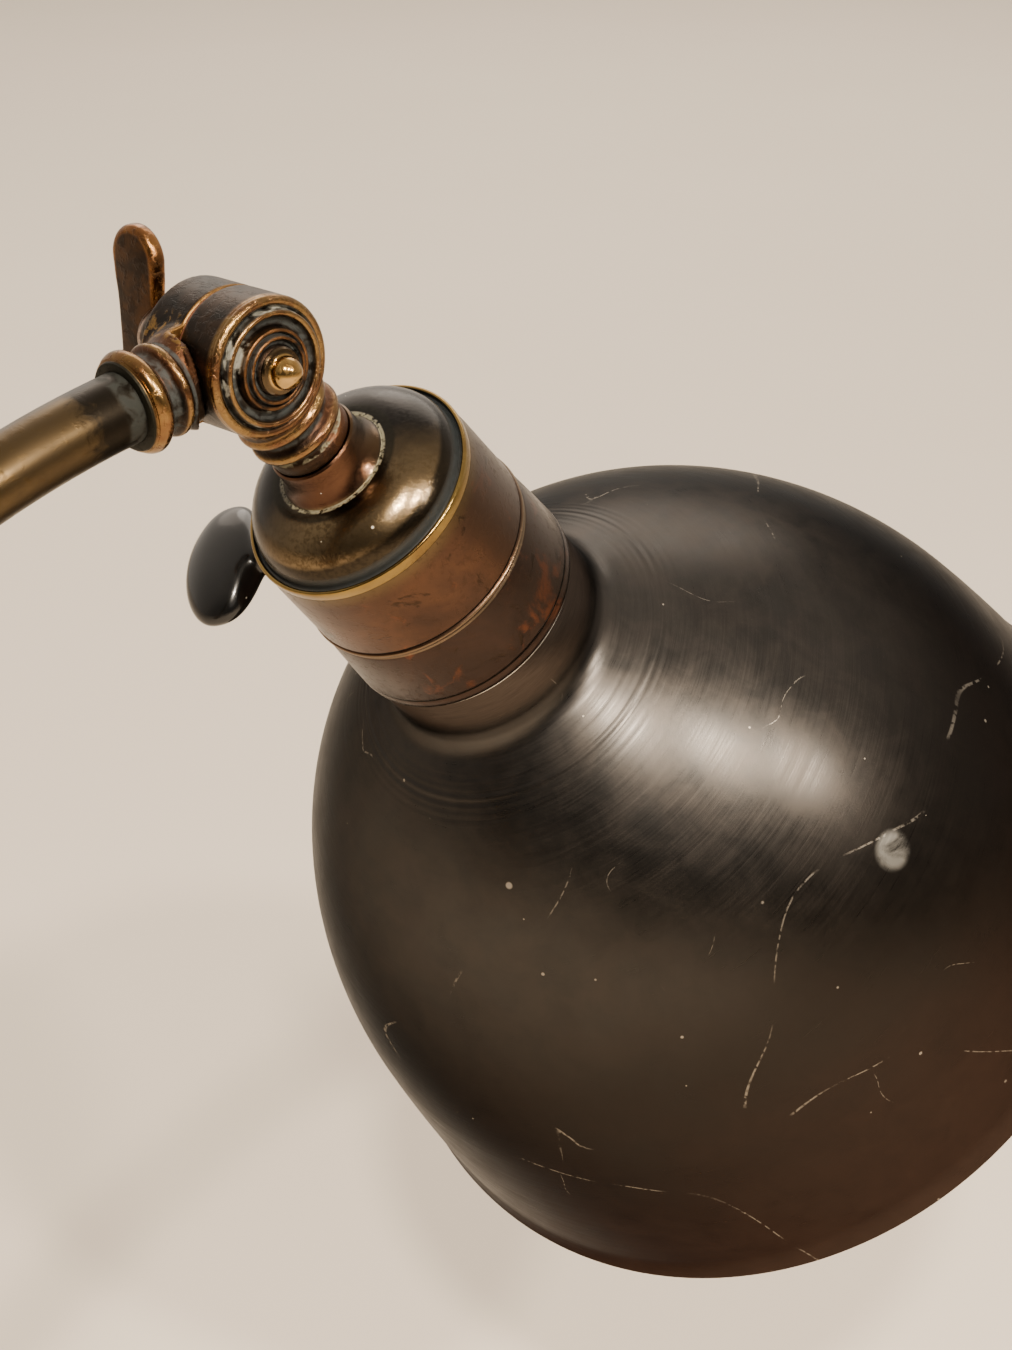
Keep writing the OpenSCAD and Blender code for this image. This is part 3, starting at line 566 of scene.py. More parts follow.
FLARE_END = 22
FINE_PITCH = 0.35
RIDGES_FROM, RIDGE_PITCH, RIDGE_HEIGHT = 26.0, 1.3, 0.035
MIDDLE_RIDGE, RIDGES_EACH_WAY = 3.2, 3.4
SHEET, SEAT_R = 1.0, 17.45
fine = resampled(outer[:FLARE_END], FINE_PITCH)
ridged = []
for p, q in zip(fine, offset(fine, 1)):
    across = (p[0] - RIDGES_FROM) / RIDGE_PITCH
    uneven = math.cos(2 * math.pi * across) + 0.6 * math.cos(2 * math.pi * 0.63 * across + 1)
    height = RIDGE_HEIGHT * max(0, 1 - abs(across - MIDDLE_RIDGE) / RIDGES_EACH_WAY) * uneven
    ridged.append((p[0] + (p[0] - q[0]) * -height, p[1] + (p[1] - q[1]) * -height))
outer_line = [(SHADE_NECK_R - 0.25, SHADE_TOP), (SHADE_NECK_R, SHADE_TOP + 0.25)] \
    + ridged + outer[FLARE_END:]
inner_line = offset([(SHADE_NECK_R, SHADE_TOP + SHEET)] + outer, -SHEET)
rim_bead = arc((RIM_R - 0.2, RIM_AT), 1.2, 20, 200, 10)
shade_line = outer_line[:-1] + rim_bead + inner_line[::-1][1:] \
    + [(SEAT_R, SHADE_TOP + SHEET), (SEAT_R, SHADE_TOP), outer_line[0]]
shade = lathe("shade_dome", shade_line, 224)
finish_piece(shade, "lamp", "lamp_head", ["shade"], 50)
print("shade line points", len(shade_line))

# %% [markdown]
# ## Key
# The key is a glossy black moulding: a round foot on the spindle flares into a wide paddle
# that is rounder at its ends than at its middle. A coarse cage is drawn up from an eight-sided
# disc, station by station, and subdivision gives it the soft, poured look.

# %% Key
deselect()
FOOT = HOLDER_R + 2
FOOT_R = 3.6
bpy.ops.mesh.primitive_cylinder_add(vertices=8, radius=FOOT_R * MM, depth=0.5 * MM,
                                    location=(0, 0, (FOOT + 0.4) * MM), end_fill_type="NGON",
                                    rotation=(0, 0, math.radians(22.5)))
key = bpy.context.object
key.name = key.data.name = "key_paddle"
bpy.ops.object.transform_apply(location=True, rotation=True, scale=True)
# height above the foot, half width and half thickness of the cage
stations = ((1.7, 3.2, 3.1), (2.9, 5.2, 3.2), (4.0, 9.6, 3.8), (6.0, 12.8, 4.3), (8.8, 13.6, 4.5),
            (11.7, 13.2, 4.3), (14.0, 11.0, 3.6), (15.7, 7.8, 2.8), (16.7, 4.0, 1.6))
choose(key, lambda p: p.z > FOOT + 0.5)
bpy.ops.object.mode_set(mode="EDIT")
bpy.ops.mesh.select_mode(type="FACE")
height, wide, thick = 0.65, FOOT_R, FOOT_R
for next_height, next_wide, next_thick in stations:
    bpy.ops.mesh.extrude_region_move(
        TRANSFORM_OT_translate={"value": (0, 0, (next_height - height) * MM)})
    bpy.ops.transform.resize(value=(next_thick / thick, next_wide / wide, 1),
                             center_override=(0, 0, (FOOT + next_height) * MM))
    height, wide, thick = next_height, next_wide, next_thick
bpy.ops.object.mode_set(mode="OBJECT")
apply_modifier(key, "SUBSURF", levels=3, render_levels=3)
size = key.dimensions
print("key size mm", [round(v / MM, 1) for v in size])
finish_piece(key, "key", "switch", ["switch_key"], 80)

# %% [markdown]
# ## Node helpers
# Every finish is a small graph: coordinates of the piece's own axis in millimetres, a few
# masks made of noise, and colours mixed by those masks. These helpers add one node each, so
# a finish below reads as a list of what happens to the metal.


# %% Node helpers
def tone(code):
    """A colour written as on a paint chart, made linear."""
    parts = [int(code[i:i + 2], 16) / 255 for i in (0, 2, 4)]
    return (*[p / 12.92 if p <= 0.04045 else ((p + 0.055) / 1.055) ** 2.4 for p in parts], 1)


def add(tree, kind, settings=(), **inputs):
    """One node; an input may be a number, a colour or another node's output."""
    made = tree.nodes.new(kind)
    for key, value in dict(settings).items():
        setattr(made, key, value)
    for key, value in inputs.items():
        socket = made.inputs[int(key[1:])] if key[0] == "i" and key[1:].isdigit() \
            else made.inputs[key.replace("_", " ")]
        if isinstance(value, bpy.types.NodeSocket):
            tree.links.new(value, socket)
        else:
            socket.default_value = value
    return made


def calc(tree, operation, a, b=0.0, clamp=False):
    return add(tree, "ShaderNodeMath", {"operation": operation, "use_clamp": clamp}, i0=a, i1=b).outputs[0]


def steps(tree, value, low, high, to_low=0.0, to_high=1.0):
    made = add(tree, "ShaderNodeMapRange", {"interpolation_type": "SMOOTHSTEP"})
    for socket, given in zip(made.inputs[:5], (value, low, high, to_low, to_high)):
        if isinstance(given, bpy.types.NodeSocket):
            tree.links.new(given, socket)
        else:
            socket.default_value = given
    return made.outputs[0]


def mixed(tree, mask, a, b):
    made = add(tree, "ShaderNodeMix", {"data_type": "RGBA"})
    for socket, given in ((made.inputs[0], mask), (made.inputs[6], a), (made.inputs[7], b)):
        if isinstance(given, bpy.types.NodeSocket):
            tree.links.new(given, socket)
        else:
            socket.default_value = given
    return made.outputs[2]


def blended(tree, mask, a, b):
    """A number that goes from a to b as the mask goes from 0 to 1."""
    return steps(tree, mask, 0.0, 1.0, a, b)


def group(name, inputs, outputs):
    """An empty node group with named inputs and outputs, and its two end nodes."""
    tree = bpy.data.node_groups.new(name, "ShaderNodeTree")
    for label, kind, value in inputs:
        socket = tree.interface.new_socket(name=label, in_out="INPUT", socket_type=kind)
        if value is not None:
            socket.default_value = value
    for label, kind in outputs:
        tree.interface.new_socket(name=label, in_out="OUTPUT", socket_type=kind)
    return tree, tree.nodes.new("NodeGroupInput").outputs, tree.nodes.new("NodeGroupOutput").inputs


def use(tree, made, **inputs):
    """Places a node group in a material with its own values."""
    return add(tree, "ShaderNodeGroup", {"node_tree": made}, **inputs).outputs


# %% [markdown]
# ## Shared effects
# Five effects come up again and again on old metal, so each is a node group: a band at one
# height, cloudy tarnish, the fine lines of a lathe, small specks, and thin scratches. A
# scratch lies where a slow noise crosses its middle value, and two more noises break it up.

# %% Group: band
VECTOR, FLOAT = "NodeSocketVector", "NodeSocketFloat"
band_group, ins, outs = group(
    "band", [("Value", FLOAT, 0.0), ("Centre", FLOAT, 0.0), ("Width", FLOAT, 1.0)], [("Mask", FLOAT)])
away = calc(band_group, "ABSOLUTE", calc(band_group, "SUBTRACT", ins["Value"], ins["Centre"]))
share = calc(band_group, "DIVIDE", away, ins["Width"])
band_group.links.new(steps(band_group, share, 1.0, 0.4), outs["Mask"])

# %% Group: tarnish
tarnish_group, ins, outs = group(
    "tarnish",
    [("Vector", VECTOR, None), ("Scale", FLOAT, 0.1), ("Amount", FLOAT, 0.5), ("Softness", FLOAT, 0.1)],
    [("Mask", FLOAT), ("Cloud", FLOAT)])
cloud = add(tarnish_group, "ShaderNodeTexNoise", Vector=ins["Vector"], Scale=ins["Scale"], Detail=6.0,
            Roughness=0.62, Distortion=0.5).outputs[0]
middle = calc(tarnish_group, "SUBTRACT", 0.72, calc(tarnish_group, "MULTIPLY", ins["Amount"], 0.44))
tarnish_group.links.new(
    steps(tarnish_group, cloud, calc(tarnish_group, "SUBTRACT", middle, ins["Softness"]),
          calc(tarnish_group, "ADD", middle, ins["Softness"])), outs["Mask"])
tarnish_group.links.new(cloud, outs["Cloud"])

# %% Group: lathe lines
lines_group, ins, outs = group(
    "lathe_lines", [("Vector", VECTOR, None), ("Fineness", FLOAT, 3.0), ("Stretch", FLOAT, 0.7)],
    [("Lines", FLOAT), ("Radius", FLOAT), ("Height", FLOAT)])
xyz = add(lines_group, "ShaderNodeSeparateXYZ", i0=ins["Vector"]).outputs
flat = add(lines_group, "ShaderNodeCombineXYZ", X=xyz[0], Y=xyz[1]).outputs[0]
radius = add(lines_group, "ShaderNodeVectorMath", {"operation": "LENGTH"}, i0=flat).outputs[1]
reach = calc(lines_group, "MAXIMUM", radius, 0.01)
around = [calc(lines_group, "MULTIPLY", calc(lines_group, "DIVIDE", xyz[i], reach), ins["Stretch"])
          for i in (0, 1)]
run = calc(lines_group, "MULTIPLY", calc(lines_group, "ADD", radius, xyz[2]), ins["Fineness"])
wound = add(lines_group, "ShaderNodeCombineXYZ", X=around[0], Y=around[1], Z=run).outputs[0]
wave = add(lines_group, "ShaderNodeTexNoise", Vector=wound, Scale=1.0, Detail=3.0, Roughness=0.65).outputs[0]
lines_group.links.new(wave, outs["Lines"])
lines_group.links.new(radius, outs["Radius"])
lines_group.links.new(xyz[2], outs["Height"])

# %% Group: specks
specks_group, ins, outs = group(
    "specks",
    [("Vector", VECTOR, None), ("Scale", FLOAT, 0.3), ("Size", FLOAT, 0.12), ("Share", FLOAT, 0.2)],
    [("Mask", FLOAT)])
cell = add(specks_group, "ShaderNodeTexVoronoi", Vector=ins["Vector"], Scale=ins["Scale"]).outputs
lot = add(specks_group, "ShaderNodeSeparateColor", Color=cell["Color"]).outputs
here = calc(specks_group, "LESS_THAN", lot[0], ins["Share"])
own = calc(specks_group, "MULTIPLY", ins["Size"], calc(specks_group, "ADD", 0.35, lot[1]))
dot = steps(specks_group, cell["Distance"], own, calc(specks_group, "MULTIPLY", own, 0.6))
specks_group.links.new(calc(specks_group, "MULTIPLY", here, dot), outs["Mask"])

# %% Group: scratches
scratch_group, ins, outs = group(
    "scratches",
    [("Vector", VECTOR, None), ("Scale", FLOAT, 0.02), ("Width", FLOAT, 0.004), ("Share", FLOAT, 0.3)],
    [("Mask", FLOAT)])
drift = add(scratch_group, "ShaderNodeTexNoise", Vector=ins["Vector"], Scale=ins["Scale"], Detail=1.5,
            Roughness=0.3).outputs[0]
edge = calc(scratch_group, "ABSOLUTE", calc(scratch_group, "SUBTRACT", drift, 0.5))
where = add(scratch_group, "ShaderNodeTexNoise", Vector=ins["Vector"], Scale=0.055, Detail=1.0).outputs[0]
half_share = calc(scratch_group, "MULTIPLY", ins["Share"], 0.5)
keep = steps(scratch_group, where, calc(scratch_group, "SUBTRACT", 0.78, half_share),
             calc(scratch_group, "SUBTRACT", 0.84, half_share))
broken = add(scratch_group, "ShaderNodeTexNoise", Vector=ins["Vector"], Scale=0.9, Detail=2.0).outputs[0]
thin = steps(scratch_group, edge, ins["Width"], calc(scratch_group, "MULTIPLY", ins["Width"], 0.4))
bits = calc(scratch_group, "MULTIPLY", thin, steps(scratch_group, broken, 0.38, 0.56))
scratch_group.links.new(calc(scratch_group, "MULTIPLY", bits, keep), outs["Mask"])
print("groups:", [g.name for g in bpy.data.node_groups])


# %% [markdown]
# ## Finishes
# A finish starts with a Principled shader and the coordinates of the place it is for. The
# Mapping node is set to Texture, which undoes the place's shift, turn and the millimetre
# scale, so that radius and height in a finish are the radius and height on the drawing.


# %% Start of a finish
def finish(name, where, metallic=1.0, roughness=0.4):
    """A new material with its shader, and coordinates in millimetres of the given place."""
    material = bpy.data.materials.new(name)
    material.use_nodes = True
    tree = material.node_tree
    shader = tree.nodes["Principled BSDF"]
    shader.inputs["Metallic"].default_value = metallic
    shader.inputs["Roughness"].default_value = roughness
    object_space = tree.nodes.new("ShaderNodeTexCoord").outputs["Object"]
    spot = PLACES[where]
    if spot.determinant() < 0:
        spot = spot @ FLIP
    local = add(tree, "ShaderNodeMapping", {"vector_type": "TEXTURE"}, Vector=object_space,
                Location=spot.to_translation(), Rotation=spot.to_euler(), Scale=(MM, MM, MM)).outputs[0]
    return material, tree, shader, local


def surface(tree, shader, colour, roughness=None, bumps=(), metallic=None):
    """Links a finish's colour, roughness and bumps to its shader."""
    tree.links.new(colour, shader.inputs["Base Color"])
    if roughness is not None:
        tree.links.new(roughness, shader.inputs["Roughness"])
    if metallic is not None:
        tree.links.new(metallic, shader.inputs["Metallic"])
    normal = None
    for height, depth in bumps:
        bump = add(tree, "ShaderNodeBump", Height=height, Distance=depth * MM, Strength=1.0)
        if normal is not None:
            tree.links.new(normal, bump.inputs["Normal"])
        normal = bump.outputs[0]
    if normal is not None:
        tree.links.new(normal, shader.inputs["Normal"])


def band(tree, value, centre, width):
    return use(tree, band_group, Value=value, Centre=centre, Width=width)["Mask"]


def tarnish(tree, vector, scale, amount, softness):
    return use(tree, tarnish_group, Vector=vector, Scale=scale, Amount=amount, Softness=softness)


def turning(tree, vector, fineness, stretch):
    return use(tree, lines_group, Vector=vector, Fineness=fineness, Stretch=stretch)


def specks(tree, vector, scale, size, share):
    return use(tree, specks_group, Vector=vector, Scale=scale, Size=size, Share=share)["Mask"]


def scratches(tree, vector, scale, width, share):
    return use(tree, scratch_group, Vector=vector, Scale=scale, Width=width, Share=share)["Mask"]


def axes(tree, vector):
    """The X, Y and Z of a vector."""
    return add(tree, "ShaderNodeSeparateXYZ", i0=vector).outputs


def layer(tree, under, mask, code, share=None):
    """A colour laid over another where a mask is; a share below 1 lets the one below through."""
    if share is not None:
        mask = calc(tree, "MULTIPLY", mask, share)
    return mixed(tree, mask, under, tone(code))


def both(tree, *masks):
    made = masks[0]
    for m in masks[1:]:
        made = calc(tree, "MULTIPLY", made, m)
    return made


def either(tree, *masks):
    made = masks[0]
    for m in masks[1:]:
        made = calc(tree, "MAXIMUM", made, m)
    return made


# %% [markdown]
# ## Knuckle finish
# The castings were blackened brass. Hands have rubbed the rims and beads back to copper and
# gold, the hollows hold grey-green dust, and gold shows in ragged blotches by the seam.

# %% Knuckle finish
GOLD, COPPER, BROWN = tone("7b623e"), tone("644631"), tone("33271e")
NIGHT, DUST, PALE_DUST = tone("1c1a18"), tone("262b2a"), tone("8a887c")


def casting_finish(name, where, face, beads, hollows, crust_at):
    """face says whether this half has a rosette; beads and hollows are places on its stem."""
    material, tree, shader, local = finish(name, where, 1.0, 0.42)
    barrel = turning(tree, local, 5.0, 1.4)
    r, z = barrel["Radius"], barrel["Height"]
    side = axes(tree, local)
    x = side[0]
    clouds = tarnish(tree, local, 0.16, 0.5, 0.16)
    small = tarnish(tree, local, 0.55, 0.42, 0.05)
    colour = mixed(tree, clouds["Mask"], NIGHT, BROWN)
    on_stem = steps(tree, x, BARREL_R - 2.2, BARREL_R + 0.5)
    low_side = steps(tree, side[1], 0.5, -4.5) if where != "head_lamp" else steps(tree, side[1], -6.0, 4.0)
    warm = both(tree, on_stem, calc(tree, "MULTIPLY", low_side, 0.7))
    colour = mixed(tree, warm, colour, mixed(tree, clouds["Mask"], tone("432c20"), tone("62402a")))
    worn_corner = both(tree, steps(tree, x, 5.5, 8.0), steps(tree, x, 12.0, 10.2), small["Mask"],
                       steps(tree, z, 5.6, 3.2))
    seam_line = both(tree, steps(tree, calc(tree, "ABSOLUTE", z), 0.75, 0.35), steps(tree, r, 10.2, 10.6),
                     steps(tree, x, 11.8, 10.0))
    colour = layer(tree, colour, worn_corner, "7f6236")
    colour = layer(tree, colour, seam_line, "7c5c34", 0.8)
    bright, hollow = None, None
    for at, width in beads:
        m = both(tree, band(tree, x, at, width), steps(tree, r, BARREL_R - 0.8, BARREL_R + 0.6))
        bright = m if bright is None else either(tree, bright, m)
    for at, width in hollows:
        m = band(tree, x, at, width)
        hollow = m if hollow is None else either(tree, hollow, m)
    crust = both(tree, band(tree, x, crust_at, 0.34), steps(tree, small["Cloud"], 0.42, 0.6))
    if face:
        front = steps(tree, z, BARREL_HALF - 0.75, BARREL_HALF - 0.35)
        rings = either(tree, band(tree, r, 10.0, 1.15), band(tree, r, 8.35, 0.62))
        inner = either(tree, band(tree, r, 5.85, 0.5), band(tree, r, 4.85, 0.42))
        rim = both(tree, band(tree, r, 10.3, 1.1), steps(tree, z, BARREL_HALF - 1.5, BARREL_HALF - 0.5))
        bright = either(tree, bright, rim, both(tree, front, rings))
        grooves = either(tree, band(tree, r, 9.1, 0.5), band(tree, r, 7.2, 0.85), band(tree, r, 5.35, 0.35),
                         band(tree, r, 4.2, 0.45))
        hollow = either(tree, both(tree, hollow, steps(tree, z, BARREL_HALF - 0.2, BARREL_HALF - 1.2)),
                        both(tree, front, grooves))
        half_bright = both(tree, front, inner, steps(tree, clouds["Cloud"], 0.35, 0.6))
        colour = layer(tree, colour, half_bright, "6a4a2e")
        patches = both(tree, front, either(tree, band(tree, r, 9.0, 0.42), band(tree, r, 6.6, 0.55)),
                       tarnish(tree, local, 0.27, 0.3, 0.05)["Mask"])
    tint = mixed(tree, steps(tree, clouds["Cloud"], 0.36, 0.6), COPPER, GOLD)
    rubbed = calc(tree, "MULTIPLY", bright, steps(tree, small["Cloud"], 0.22, 0.4))
    colour = mixed(tree, rubbed, colour, tint)
    dull = both(tree, hollow, steps(tree, small["Cloud"], 0.3, 0.62))
    colour = layer(tree, colour, hollow, "1f1d1a", 0.75)
    colour = mixed(tree, calc(tree, "MULTIPLY", dull, 0.8), colour, DUST)
    colour = layer(tree, colour, crust, "777159")
    dusty = either(tree, dull, crust)
    if face:
        colour = mixed(tree, calc(tree, "MULTIPLY", patches, 0.85), colour, PALE_DUST)
        dusty = either(tree, dusty, patches)
    rough = blended(tree, rubbed, 0.42, 0.24)
    rough = calc(tree, "ADD", rough, calc(tree, "MULTIPLY", dusty, 0.35), clamp=True)
    metal = blended(tree, dusty, 1.0, 0.15)
    surface(tree, shader, colour, rough,
            [(barrel["Lines"], 0.012), (small["Mask"], 0.035), (clouds["Cloud"], 0.05)], metal)
    return material


stem_beads = [(BARREL_R + 2.95, 0.75)]
stem_hollows = [(BARREL_R + 1.7, 0.55), (BARREL_R + 4.7, 0.95)]
NO_CRUST = 40
for piece, name, where, face in ((arm_head, "casting_arm_head", "head_arm", False),
                                 (fixed, "casting_fixed", "swing_wall", False),
                                 (arm_base, "casting_arm_base", "swing_arm", True)):
    piece.data.materials.append(casting_finish(name, where, face, stem_beads, stem_hollows, NO_CRUST))
lamp_barrel.data.materials.append(casting_finish(
    "casting_lamp", "head_lamp", True, [(BARREL_R + 1.9, 0.9), (BARREL_R + 6.2, 0.95)],
    [(BARREL_R + 4.2, 0.85), (BARREL_R + 7.9, 0.55)], BARREL_R + 8.6))
print("knuckle finishes made")

# %% [markdown]
# ## Bands, buttons and wing nuts
# These are the parts that fingers polish. The bands are copper-gold with dark edges, the
# buttons are nearly clean, and the wings keep brown in their middles and shine on their edges.


# %% Band finish
def band_finish(name, where):
    material, tree, shader, local = finish(name, where, 1.0, 0.25)
    x = axes(tree, local)[0]
    clouds = tarnish(tree, local, 0.2, 0.45, 0.2)
    small = tarnish(tree, local, 0.8, 0.3, 0.06)
    colour = mixed(tree, clouds["Mask"], tone("80663e"), tone("6c4c32"))
    colour = layer(tree, colour, small["Mask"], "4d321d", 0.5)
    edges = either(tree, band(tree, x, FERRULE_AT + 0.1, 0.45),
                   steps(tree, x, FERRULE_AT + 3.35, FERRULE_AT + 3.7))
    colour = layer(tree, colour, edges, "24231d")
    rough = calc(tree, "ADD", blended(tree, edges, 0.22, 0.6), calc(tree, "MULTIPLY", small["Mask"], 0.15))
    lines = use(tree, lines_group, Vector=add(tree, "ShaderNodeMapping", Vector=local,
                Rotation=(0, -math.pi / 2, 0)).outputs[0], Fineness=6.0, Stretch=1.2)
    surface(tree, shader, colour, rough, [(lines["Lines"], 0.01), (small["Mask"], 0.02)])
    return material


for piece, where in (("arm_head_band", "head_arm"), ("arm_base_band", "swing_arm"),
                     ("bracket_band", "swing_wall")):
    bpy.data.objects[piece].data.materials.append(band_finish("band_" + piece, where))


# %% Button finish
def button_finish(name, where):
    material, tree, shader, local = finish(name, where, 1.0, 0.2)
    turned = turning(tree, local, 7.0, 1.0)
    clouds = tarnish(tree, local, 0.35, 0.4, 0.2)
    colour = mixed(tree, clouds["Mask"], tone("a98a55"), tone("8a683a"))
    collar = steps(tree, turned["Radius"], 2.55, 2.85)
    colour = layer(tree, colour, collar, "3a332b", 0.9)
    small = tarnish(tree, local, 1.4, 0.3, 0.08)
    colour = layer(tree, colour, small["Mask"], "5b4428", 0.35)
    surface(tree, shader, colour, blended(tree, small["Mask"], 0.16, 0.36), [(turned["Lines"], 0.008)])
    return material


bpy.data.objects["head_bolt_button"].data.materials.append(button_finish("button_head", "head_bolt"))
bpy.data.objects["swing_bolt_button"].data.materials.append(button_finish("button_swing", "swing"))


# %% Wing finish
def wing_finish(name, where):
    material, tree, shader, local = finish(name, where, 1.0, 0.3)
    side = axes(tree, local)
    reach = calc(tree, "MAXIMUM", calc(tree, "SUBTRACT", calc(tree, "ABSOLUTE", side[0]), 11.0), 0.0)
    across = calc(tree, "ABSOLUTE", calc(tree, "ADD", side[2], WING_AT + WING_W / 2))
    radial = calc(tree, "SQRT", calc(tree, "ADD", calc(tree, "MULTIPLY", reach, reach),
                                     calc(tree, "MULTIPLY", across, across)))
    edge = both(tree, steps(tree, radial, 3.9, 4.7), steps(tree, side[2], -WING_AT + 0.5, -WING_AT - 0.5))
    clouds = tarnish(tree, local, 0.18, 0.55, 0.14)
    small = tarnish(tree, local, 0.6, 0.35, 0.08)
    colour = mixed(tree, clouds["Mask"], tone("4a3320"), tone("2a211a"))
    colour = mixed(tree, edge, colour, mixed(tree, clouds["Mask"], tone("8f663b"), tone("775032")))
    colour = layer(tree, colour, small["Mask"], "2c241e", 0.55)
    hub = steps(tree, side[2], -WING_AT + 0.2, -WING_AT + 1.2)
    colour = layer(tree, colour, hub, "4c4438", 0.7)
    dots = specks(tree, local, 0.5, 0.12, 0.12)
    colour = layer(tree, colour, dots, "c9c2b2")
    rough = calc(tree, "ADD", blended(tree, edge, 0.36, 0.2), calc(tree, "MULTIPLY", small["Mask"], 0.2))
    surface(tree, shader, colour, rough, [(small["Mask"], 0.03), (clouds["Cloud"], 0.06)])
    return material


bpy.data.objects["head_wing"].data.materials.append(wing_finish("wing_head", "head_nut"))
bpy.data.objects["swing_wing"].data.materials.append(wing_finish("wing_swing", "swing"))
print("band, button and wing finishes made")

# %% [markdown]
# ## Arm finish
# The tube has the calm olive-brown of satin brass. Next to each band the tarnish is left,
# nearly black, with grey-green dust, because cloths never reach that corner.


# %% Arm finish
def tube_finish(name, corners):
    material, tree, shader, local = finish(name, "upright", 1.0, 0.34)
    clouds = tarnish(tree, local, 0.06, 0.5, 0.2)
    small = tarnish(tree, local, 0.45, 0.3, 0.08)
    colour = mixed(tree, clouds["Mask"], tone("52442f"), tone("423728"))
    colour = layer(tree, colour, small["Mask"], "4a3a22", 0.5)
    near = None
    for corner, size in corners:
        away = add(tree, "ShaderNodeVectorMath", {"operation": "DISTANCE"}, i0=local, i1=corner).outputs[1]
        ragged = calc(tree, "SUBTRACT", away, calc(tree, "MULTIPLY", small["Cloud"], 9.0))
        m = steps(tree, ragged, size, size - 3.5)
        rim = steps(tree, away, size - 1.4, size - 2.2)
        near = (m, rim) if near is None else (either(tree, near[0], m), either(tree, near[1], rim))
    colour = layer(tree, colour, near[0], "1f1c18", 0.93)
    dust = both(tree, near[1], steps(tree, small["Cloud"], 0.3, 0.6))
    colour = layer(tree, colour, dust, "2b302d", 0.6)
    rough = calc(tree, "ADD", blended(tree, clouds["Mask"], 0.3, 0.4), calc(tree, "MULTIPLY", dust, 0.4))
    surface(tree, shader, colour, rough, [(small["Mask"], 0.015), (clouds["Cloud"], 0.05)],
            blended(tree, dust, 1.0, 0.6))
    return material


def on_stem_of(where, along):
    return tuple(v / MM for v in (PLACES[where] @ Vector((along * MM, 0, 0))))


bpy.data.objects["arm_bent_tube"].data.materials.append(tube_finish("satin_tube", [
    (on_stem_of("head_arm", FERRULE_AT + 3), 8.6), (on_stem_of("swing_arm", FERRULE_AT + 3), 8.2)]))
short_tube = nodes["bracket_tube"].data
short_tube.materials.clear()
short_tube.materials.append(tube_finish("satin_short_tube", [
    (on_stem_of("swing_wall", FERRULE_AT + 3), 8)]))

# %% [markdown]
# ## Holder finishes
# The cap is rubbed to speckled olive-gold and is otherwise nearly black. The rubbed side is the
# side toward the lamps and the black side faces away, so this split is painted light and painted
# shade as well as wear. Its groove holds blue-grey dust and its lip is bright. The two shells
# below are copper-brown with dark stains and a few redder patches, and a thin pale line on the
# skirt's lower edge is a painted highlight.

# %% Cap finish
material, tree, shader, local = finish("cap_patina", "lamp", 1.0, 0.3)
turned = turning(tree, local, 4.0, 1.2)
r, t = turned["Radius"], turned["Height"]
side = axes(tree, local)
clouds = tarnish(tree, local, 0.09, 0.5, 0.2)
fine_spots = tarnish(tree, local, 1.5, 0.45, 0.08)
# The olive-gold rub is pushed towards the side facing the lamps: painted light there and painted shade on the
# far side, over real rubbed wear.
lit_side_lean = calc(tree, "ADD", calc(tree, "MULTIPLY", side[0], -0.07), calc(tree, "MULTIPLY", side[1], -0.05))
rubbed = steps(tree, calc(tree, "ADD", lit_side_lean, clouds["Cloud"]), 0.45, 1.6)
dome = mixed(tree, rubbed, tone("23211f"), tone("76654c"))
dome = layer(tree, dome, both(tree, fine_spots["Mask"], calc(tree, "MULTIPLY", rubbed, 0.55)), "3d301d")
neck_mask = steps(tree, t, DOME_AT + 0.1, DOME_AT - 0.5)
neck = mixed(tree, clouds["Mask"], tone("3c2a21"), tone("523a2b"))
neck = layer(tree, neck, steps(tree, side[1], -1, 6), "4a3a29")
colour = mixed(tree, neck_mask, dome, neck)
crust = both(tree, band(tree, t, DOME_AT + 0.1, 0.16), steps(tree, r, 10.0, 9.6),
             steps(tree, fine_spots["Cloud"], 0.36, 0.56))
shadow_ring = both(tree, band(tree, r, 10.6, 1.2), steps(tree, t, DOME_AT - 0.2, DOME_AT + 0.3))
colour = layer(tree, colour, shadow_ring, "26251f", 0.8)
colour = layer(tree, colour, crust, "7b765e", 0.85)
rim_dark = band(tree, r, 18.4, 0.95)
groove = band(tree, r, 19.15, 0.62)
lip = steps(tree, r, 19.72, 19.92)
colour = layer(tree, colour, rim_dark, "1c1b19", 0.85)
colour = mixed(tree, calc(tree, "MULTIPLY", groove, 0.85), colour,
               mixed(tree, fine_spots["Cloud"], tone("17191a"), tone("353c3f")))
colour = mixed(tree, lip, colour, mixed(tree, clouds["Mask"], tone("8a7342"), tone("6e5732")))
dots = specks(tree, local, 0.42, 0.1, 0.14)
colour = layer(tree, colour, dots, "b5b3a8", 0.8)
dusty = either(tree, crust, calc(tree, "MULTIPLY", groove, 0.7), dots)
rough = calc(tree, "ADD", blended(tree, lip, 0.19, 0.17),
             calc(tree, "ADD", calc(tree, "MULTIPLY", dusty, 0.4),
                  calc(tree, "MULTIPLY", fine_spots["Mask"], 0.06)))
surface(tree, shader, colour, rough, [(turned["Lines"], 0.005), (fine_spots["Mask"], 0.005),
                                      (crust, 0.08)], blended(tree, dusty, 1.0, 0.2))
cap.data.materials.append(material)


